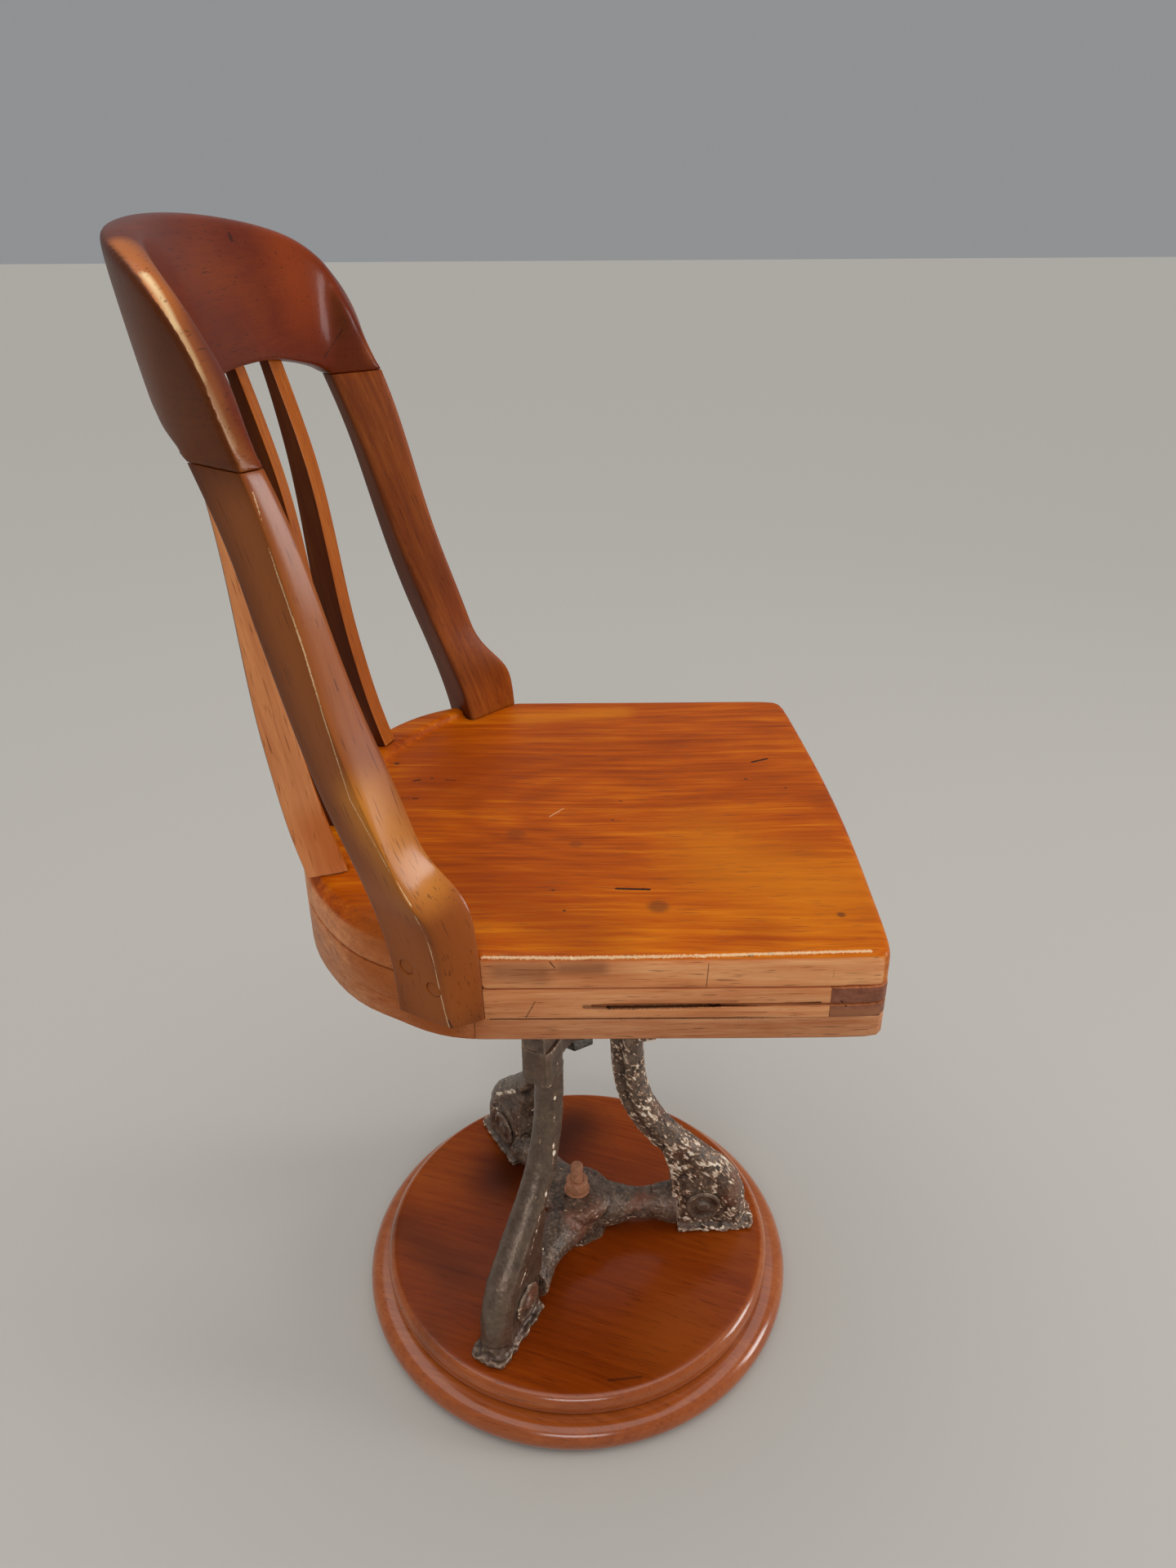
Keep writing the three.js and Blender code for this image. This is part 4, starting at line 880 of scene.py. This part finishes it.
lower_low, lower_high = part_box("plinth_lower_disc")
upper_low, upper_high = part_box("plinth_upper_disc")
lower_disc = turned_disc(
    "plinth_lower_disc_turned", bull_nose(lower_high.x, lower_low.z, lower_high.z)
)
upper_disc = turned_disc(
    "plinth_upper_disc_turned", upper_edge(upper_high.x, upper_low.z, upper_high.z)
)
print("disc radii", round(lower_high.x, 4), round(upper_high.x, 4))

# %% The plinth's wood
plinth_along = (0.35, 1, 0)
flat_top_range = (0.86, 0.98)
turned_edge = math.radians(40)
plinth_marks = ((((745, 1690), (785, 1686)), 0.0016, 0.5),)
plinth_spots = (((492, 1602), 0.002, 0.7), ((520, 1586), 0.0012, 0.5))
# A glow of painted reflection on the near front, and painted shade under the seat.
plinth_painted_glow = shade(150, 72, 20)
plinth_painted_shade = shade(62, 22, 4)
plinth_light_and_shade = (
    (((830, 1640),), 0.08, plinth_painted_glow, 0.6), (((700, 1380), (620, 1440)), 0.06, plinth_painted_shade, 0.9),
    (((490, 1500), (560, 1560)), 0.04, plinth_painted_shade, 0.5), (((520, 1640),), 0.04, plinth_painted_shade, 0.4),
)
# The flat top gets darker tones than the rounds: painted shade of the seat above it.
plinth_top_finish = varnished(
    "plinth_top_wood", plinth_along, (0, 0, 1), rim_wood, heart=0.09,
    faces=(((0, 0, 1), plinth_wood, *flat_top_range),), marks=plinth_marks,
    spots=plinth_spots, tints=plinth_light_and_shade,
)
plinth_rim_finish = varnished("plinth_rim_wood", plinth_along, (0, 0, 1), rim_wood, heart=0.12)
for disc, node, finish in (
    (lower_disc, "plinth_lower_disc", plinth_rim_finish),
    (upper_disc, "plinth_upper_disc", plinth_top_finish),
):
    smooth_by(disc, turned_edge)
    dress(disc, node, "plinth_wood", finish)
print("plinth triangles", triangles(lower_disc) + triangles(upper_disc))

# %% [markdown]
# ## The castings
# A sand casting has no sharp edges, and its skin is lumpy. Each iron piece is a copy that
# Remesh turns into an even net of small faces, so that Displace can raise lumps of every size
# in it. A slow noise gives the lumps that the pattern maker and the sand left, and a fast one
# the grit and the flaked paint. The feet of the legs are rounder and lumpier than the rest.

# %% Lumps and grit
lump_size = 0.011
grit_size = 0.0026
foot_lump_size = 0.008
foot_lumps = 0.005
foot_height = 0.016
foot_passes = 14
foot_mid_level = 0.62
skin_mid_level = 0.55
casting_crease = math.radians(50)


def cloud(name, size, depth):
    texture = bpy.data.textures.new(name, "CLOUDS")
    texture.noise_scale = size
    texture.noise_depth = depth
    texture.noise_basis = "ORIGINAL_PERLIN"
    return texture


lump_cloud = cloud("casting_lumps", lump_size, 2)
foot_cloud = cloud("foot_lumps", foot_lump_size, 1)
grit_cloud = cloud("casting_grit", grit_size, 2)


def sand_cast(node, voxel, lumps, grit, levels=1, passes=2, foot=0.0):
    """Up to the height of its foot a leg is rounder and lumpier."""
    piece = merged_copy(node, node + "_cast")
    if levels:
        rounded_curves(piece, casting_crease, levels)
    applied(piece, "REMESH", mode="VOXEL", voxel_size=voxel, use_smooth_shade=True)
    applied(piece, "SMOOTH", factor=smooth_factor, iterations=passes)
    if foot:
        level = min(v.co.z for v in piece.data.vertices) + foot
        below = piece.vertex_groups.new(name="foot")
        below.add([v.index for v in piece.data.vertices if v.co.z < level], 1, "REPLACE")
        applied(
            piece, "SMOOTH", factor=smooth_factor, iterations=foot_passes, vertex_group="foot"
        )
        applied(
            piece, "DISPLACE", texture=foot_cloud, strength=foot_lumps, mid_level=foot_mid_level,
            vertex_group="foot",
        )
    applied(piece, "DISPLACE", texture=lump_cloud, strength=lumps, mid_level=skin_mid_level)
    applied(piece, "DISPLACE", texture=grit_cloud, strength=grit, mid_level=skin_mid_level)
    return piece


# %% The legs
leg_voxel = 0.0013
leg_passes = 6
leg_looks = {
    "leg_front": (0.0026, 0.0016, iron_front),
    "leg_rear_left": (0.0024, 0.0013, iron_far),
    "leg_rear_right": (0.0012, 0.0006, iron_near),
}
for node, (lumps, grit, finish) in leg_looks.items():
    leg = sand_cast(node, leg_voxel, lumps, grit, passes=leg_passes, foot=foot_height)
    dress(leg, node, "iron", finish)
    print(node, triangles(leg))

# %% The tie, the upper spider and the seat's plate
cast_looks = {
    "tie_spider": (0.0011, 0.0042, 0.0016, iron_tie),
    "upper_spider": (0.0014, 0.0012, 0.0006, iron_dark),
    "seat_plate": (0.0018, 0.001, 0.0005, iron_dark),
}
for node, (voxel, lumps, grit, finish) in cast_looks.items():
    casting = sand_cast(node, voxel, lumps, grit)
    dress(casting, node, "iron", finish)
    print(node, triangles(casting))

# %% The rosettes of the tie's bolts
rosette_voxel = 0.0007
rosette_lumps = 0.0006
rosette_grit = 0.0005
legs = ("front", "rear_left", "rear_right")
for leg in legs:
    for node in (f"tie_bolt_{leg}", f"tie_nut_{leg}"):
        rosette = sand_cast(node, rosette_voxel, rosette_lumps, rosette_grit, levels=0, passes=1)
        dress(rosette, node, "iron", iron_tie)
print("rosette", triangles(rosette))

# %% [markdown]
# ## Small steel
# The stud through the middle, its washer and its nut are rusty steel. The bearing under the
# seat hardly shows, but it is bare steel and bronze, and its round pieces are shaded smooth.
# No real edge is quite sharp, so a narrow Bevel on each one catches the light.

# %% Steel and bronze pieces
steel_arris = 0.0004
steel_pieces = {
    "hub_stud": ("rusty_steel", rusty_thread), "hub_washer": ("rusty_steel", rusty_steel),
    "hub_nut": ("rusty_steel", rusty_steel), "hub_bush": ("bronze", bronze),
}
bearing_pieces = (
    "race_lower", "race_upper", "ball_ring", "spindle", "spindle_washer", "spindle_nut",
    "spindle_pin",
)
for node in bearing_pieces:
    steel_pieces[node] = ("bare_steel", bare_steel)
for leg in legs:
    steel_pieces["upper_spider_bolt_" + leg] = ("iron", iron_dark)
for i in range(1, 5):
    steel_pieces[f"seat_plate_screw_{i}"] = ("bare_steel", bare_steel)
for side in ("left", "right"):
    steel_pieces[f"crest_dowel_{side}"] = ("post_wood", bare_steel)
    for i in (1, 2):
        steel_pieces[f"post_screw_{side}_{i}"] = ("bare_steel", bare_steel)
for node, (slot, finish) in steel_pieces.items():
    piece = merged_copy(node, node + "_metal")
    worn_arrises(piece, steel_arris)
    smooth_by(piece)
    dress(piece, node, slot, finish)
print("steel pieces", len(steel_pieces))

# %% [markdown]
# ## The seat
# Three layers are glued up. The top one is carved: a shallow dish in front, and a flat rim
# that stands a little higher behind, where the slats are let in. Bevel can't round a carved
# edge evenly. So Remesh turns the board into an even net, and Smooth rounds every edge but
# those of the underside, which is glued to the next layer.

# %% Marks, stains and a painted highlight on the seat
seat_marks = (
    (seat_crack_pixels, 0.0016, 1.0),
    (((921, 933), (939, 929)), 0.0016, 1.0),
    (((507, 956), (514, 955)), 0.0016, 0.8),
    (((506, 978), (511, 978)), 0.0013, 0.7),
    (((546, 955), (558, 956)), 0.0011, 0.6),
)
seat_spots = (
    ((806, 1110), 0.010, 0.55), ((1030, 1120), 0.004, 0.7), ((486, 935), 0.003, 0.9),
    ((529, 953), 0.002, 0.9), ((632, 1021), 0.010, 0.35), ((705, 1034), 0.007, 0.35),
    ((750, 1004), 0.0016, 0.9), ((691, 1115), 0.0016, 1.0), ((677, 1090), 0.0018, 0.8),
    ((913, 954), 0.0022, 0.8), ((962, 965), 0.0018, 0.8), ((760, 981), 0.002, 0.6),
)
red_patch = shade(136, 46, 0)
gold_patch = shade(204, 116, 12)
side_stain = shade(136, 84, 56)
rear_orange = shade(156, 78, 26)
rear_tints = ((((450, 1180), (545, 1262)), 0.045, rear_orange, 0.85),)
seat_tints = (
    (((570, 950),), 0.075, red_patch, 0.5), (((700, 900),), 0.06, red_patch, 0.3),
    (((600, 1090), (720, 1150)), 0.05, red_patch, 0.5), (((930, 1140),), 0.04, red_patch, 0.3),
    (((900, 1060), (1010, 1090)), 0.08, gold_patch, 0.6), (((860, 1010),), 0.05, gold_patch, 0.3),
    (((640, 880), (760, 872)), 0.02, gold_patch, 0.6),
    (((612, 1190), (660, 1192)), 0.016, side_stain, 0.7),
    (((690, 1187), (735, 1186)), 0.009, side_stain, 0.7),
    (((460, 1150), (530, 1215)), 0.05, rear_orange, 0.8),
)
# The pale line along the near edge of the top is partly wear and partly a painted highlight.
near_edge_pixels = ((590, 1172), (700, 1173), (860, 1170), (990, 1166), (1066, 1164))
seat_pale_lines = (
    (((673, 1000), (690, 990)), 0.0006, 0.5),
    *stretches(near_edge_pixels, 0.0015, 0.7),
    (((378, 1070), (424, 1063)), 0.0012, 0.8),
)
board_marks = (
    (((868, 1180), (865, 1208)), 0.0005, 0.6), (((1023, 1183), (1020, 1198)), 0.0005, 0.6),
    (((673, 1178), (679, 1185)), 0.0007, 0.7), (((917, 1169), (922, 1169)), 0.0016, 0.9),
    (((942, 1167), (946, 1167)), 0.0014, 0.9), (((955, 1168), (962, 1168)), 0.0010, 0.9),
)
print("marks", len(seat_marks + board_marks), "spots", len(seat_spots), "tints", len(seat_tints))

# %% The seat's top board
dish_crease = math.radians(30)
seat_voxel = 0.0021
seat_passes = 6
seat_top_finish = varnished(
    "seat_top_wood", along=(0, 1, 0), face=(0, 0, 1), wood=board_wood, heart=0.13,
    faces=(((0, -1, 0), edge_wood), ((0, 0, 1), seat_wood)),
    marks=seat_marks + board_marks, spots=seat_spots, tints=seat_tints,
    pale_lines=seat_pale_lines,
)
seat_top = merged_copy("seat_top_board", "seat_top_board_carved")
rounded_curves(seat_top, dish_crease, 1)
softened(seat_top, seat_voxel, seat_passes)
dress(seat_top, "seat_top_board", "seat_top_wood", seat_top_finish)
print("seat top", triangles(seat_top))

# %% Marks and painted shade on the layers under it
seam_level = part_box("seat_bottom_board")[1].z
seam_row = 1246
seam_pixels = [(column, seam_row, seam_level) for column in (600, 760, 920, 1076)]
seam_marks = stretches(seam_pixels, 0.0008, 0.75)
# The three wide marks along the open slit in the right rail are painted shade in the slit.
side_marks = {
    "seat_side_rail_right": (
        (((655, 1227), (651, 1234)), 0.0006, 0.5), (((651, 1234), (644, 1246)), 0.0007, 0.5),
        (((716, 1233), (745, 1233)), 0.0022, 0.6), (((745, 1233), (880, 1231)), 0.0022, 0.9),
        (((870, 1231), (1004, 1228)), 0.0015, 0.9),
    ) + seam_marks,
    "seat_bottom_board": seam_marks,
    "seat_front_rail": ((((1030, 1226), (1036, 1232)), 0.0008, 0.8),) + seam_marks[-1:],
}
front_end_tints = ((((1020, 1240), (1072, 1239)), 0.007, shade(158, 102, 68), 0.9),)
print("seam at", round(seam_level, 4))

# %% The layers under it
layer_crease = math.radians(24)
layer_arris = 0.0006
rail_along = {"seat_front_rail": (1, 0, 0), "seat_bottom_rear": (1, 0.3, 0)}
seat_layers = (
    "seat_front_rail", "seat_side_rail_left", "seat_side_rail_right", "seat_core_board",
    "seat_bottom_board", "seat_bottom_rear",
)
for node in seat_layers:
    layer = merged_copy(node, node + "_planed")
    rounded_curves(layer, layer_crease, 1)
    worn_arrises(layer, layer_arris)
    smooth_by(layer)
    along = rail_along.get(node, (0, 1, 0))
    ends = ((along, end_wood), (-Vector(along), end_wood)) if node == "seat_front_rail" else ()
    finish = varnished(
        node + "_wood", along, (0, 0, 1), under_wood if "bottom" in node else side_wood,
        heart=0.11, faces=ends, tints=front_end_tints if ends else rear_tints,
        marks=side_marks.get(node, ()),
    )
    dress(layer, node, "seat_side_wood", finish)
print("seat layers", len(seat_layers))

# %% [markdown]
# ## The back
# Two posts rise from the seat's sides and carry a deep, curved crest rail, and four slats
# stand between the seat and the rail. All are sawn from solid boards, so their grain runs
# straight and the curves cut through it. The line from the foot of a post or slat to its head
# gives the direction of its grain.

# %% The direction from a piece's foot to its head
end_share = 0.1


def lean(piece):
    points = [v.co for v in piece.data.vertices]
    low = min(p.z for p in points)
    high = max(p.z for p in points)
    margin = end_share * (high - low)
    foot = [p for p in points if p.z < low + margin]
    head = [p for p in points if p.z > high - margin]
    return sum(head, Vector()) / len(head) - sum(foot, Vector()) / len(foot)


# %% [markdown]
# ### The posts
# Hands have worn a pale strip along each post's outer arrises. Bevel rounds the arrises and
# can give its new faces a material of their own. Only the strips that look outwards keep it.

# %% Marks, tints and painted light on the near post
post_marks = (
    (((553, 1258), (549, 1250)), 0.0012, 0.6), (((409, 832), (414, 846)), 0.0006, 0.5),
)
# Painted light: paler brown on the outer face and on the front face's foot, and gold at the knee.
post_tints_and_light = (
    (((470, 1100), (530, 1230)), 0.06, shade(152, 82, 36), 0.9),
    (((300, 640), (440, 1020)), 0.04, shade(152, 84, 36), 0.8),
    (((450, 985), (520, 1080)), 0.03, shade(208, 130, 42), 0.7),
    (((575, 1130), (580, 1210)), 0.03, shade(150, 76, 26), 0.8),
)
near_arris_pixels = (
    (310, 603), (339, 702), (371, 794), (403, 901), (428, 979), (463, 1043), (502, 1107),
    (527, 1164), (545, 1242), (550, 1258),
)
post_lines = stretches(near_arris_pixels, 0.0006, 0.5)
print("arris from", [round(c, 3) for c in seen_at(near_arris_pixels[0])])

# %% The two posts and their plugs
post_crease = math.radians(28)
post_edge = math.radians(30)
post_arris = 0.0016
plug_arris = 0.0003
outer_limit = 0.75
for side, way in (("left", 1), ("right", -1)):
    post = merged_copy(f"post_{side}", f"post_{side}_shaped")
    rounded_curves(post, post_crease, 2)
    worn_arrises(post, post_arris, post_edge, segments=3, worn_slot=1)
    smooth_by(post, post_edge)
    outer_arris = Vector((way, -0.1, 0)).normalized()
    for face in post.data.polygons:
        if face.material_index and face.normal.dot(outer_arris) < outer_limit:
            face.material_index = 0
    along = lean(post)
    near = way < 0
    # The faces that look back and to either side get the tones of painted shade.
    finish = varnished(
        f"post_{side}_wood", along, (way, -0.4, 0), post_wood if near else far_post_wood,
        heart=0.07, faces=(((way, 0.5, 0), painted_shade_wood), ((-way, 0.5, 0), painted_shade_wood)),
        marks=post_marks if near else (), tints=post_tints_and_light if near else (),
        pale_lines=post_lines if near else (),
    )
    worn = varnished(f"post_{side}_arris", along, (way, -0.4, 0), bare_wood, heart=0.07)
    dress(post, f"post_{side}", "post_wood", finish, worn)
    print("post", side, triangles(post))
    for i in (1, 2):
        plug = merged_copy(f"post_plug_{side}_{i}", f"post_plug_{side}_{i}_cut")
        worn_arrises(plug, plug_arris)
        smooth_by(plug)
        dress(plug, f"post_plug_{side}_{i}", "post_wood", finish)

# %% [markdown]
# ### The slats
# The slats are thin and gently bent. Subdivision Surface alone gives the bend, because their
# arrises are still crisp. Their shaded sides get darker tones, which are painted shade, and the
# outer side of the near slat gets paler ones, which are painted light.

# %% The four slats
slat_crease = math.radians(50)
slat_tints = ((((392, 1015), (410, 1050)), 0.03, shade(178, 90, 32), 0.7),)
slat_faces = (((-1, 0.6, 0), painted_shade_wood),)
near_slat_faces = (((0.3, 1, 0), painted_shade_wood), ((-1, -0.2, 0), painted_light_wood))
for node in ("slat_outer_left", "slat_inner_left", "slat_inner_right", "slat_outer_right"):
    slat = merged_copy(node, node + "_shaped")
    along = lean(slat)
    rounded_curves(slat, slat_crease, 2)
    smooth_by(slat, slat_crease)
    near = node == "slat_outer_right"
    finish = varnished(
        node + "_wood", along, (1, 0, 0), slat_wood, heart=0.05,
        faces=near_slat_faces if near else slat_faces, tints=slat_tints if near else (),
    )
    dress(slat, node, "slat_wood", finish)
print("slat", triangles(slat))

# %% [markdown]
# ### The crest rail
# The crest rail is carved from a deep block. Its edges are sanded so round that it looks
# moulded. So it is made as the seat's top board is, with more passes of Smooth. The varnish
# is at its darkest here, and its side and back faces get painted shade. The near end's top band
# is painted orange, with a gold line on its arris that is partly wear and partly a painted
# highlight.

# %% Carve the crest rail
crest_crease = math.radians(50)
crest_voxel = 0.0015
crest_passes = 15
crest = merged_copy("crest_rail", "crest_rail_carved")
rounded_curves(crest, crest_crease, 2)
softened(crest, crest_voxel, crest_passes)
print("crest", triangles(crest))

# %% The crest rail's wood
crest_marks = ((((398, 438), (419, 404)), 0.0010, 0.6),)
crest_spots = (((283, 290), 0.004, 0.7),)
crest_orange = shade(192, 108, 44)
# Pale gold on the near end's arris: partly wear, partly a painted highlight.
gold_wear_and_highlight = shade(250, 212, 156)
crest_stains_and_highlights = (
    (((140, 300), (190, 360)), 0.022, crest_orange, 0.9),
    (((190, 360), (245, 480)), 0.020, crest_orange, 0.9),
    (((245, 480), (290, 565)), 0.018, shade(150, 88, 42), 0.8),
    (((178, 335), (215, 397)), 0.0045, gold_wear_and_highlight, 0.9),
    (((215, 397), (248, 462)), 0.0045, gold_wear_and_highlight, 0.7),
    (((248, 462), (285, 545)), 0.0050, shade(190, 150, 110), 0.5),
    (((350, 300), (370, 360)), 0.05, shade(146, 58, 12), 0.7),
    (((430, 370), (455, 430)), 0.016, shade(164, 82, 26), 0.6),
    (((260, 440), (300, 460)), 0.05, shade(92, 34, 10), 0.5),
)
# The faces that look to either side and back get the tones of painted shade.
crest_finish = varnished(
    "crest_wood", along=(1, 0, 0), face=(0, -1, 0.3), wood=crest_wood, heart=0.2,
    faces=(((-1, 0.5, 0), painted_shade_wood), ((1, 0.5, 0), painted_shade_wood)), stains_and_highlights=crest_stains_and_highlights,
    marks=crest_marks, spots=crest_spots,
)
dress(crest, "crest_rail", "crest_wood", crest_finish)
print("stains_and_highlights", len(crest_stains_and_highlights))
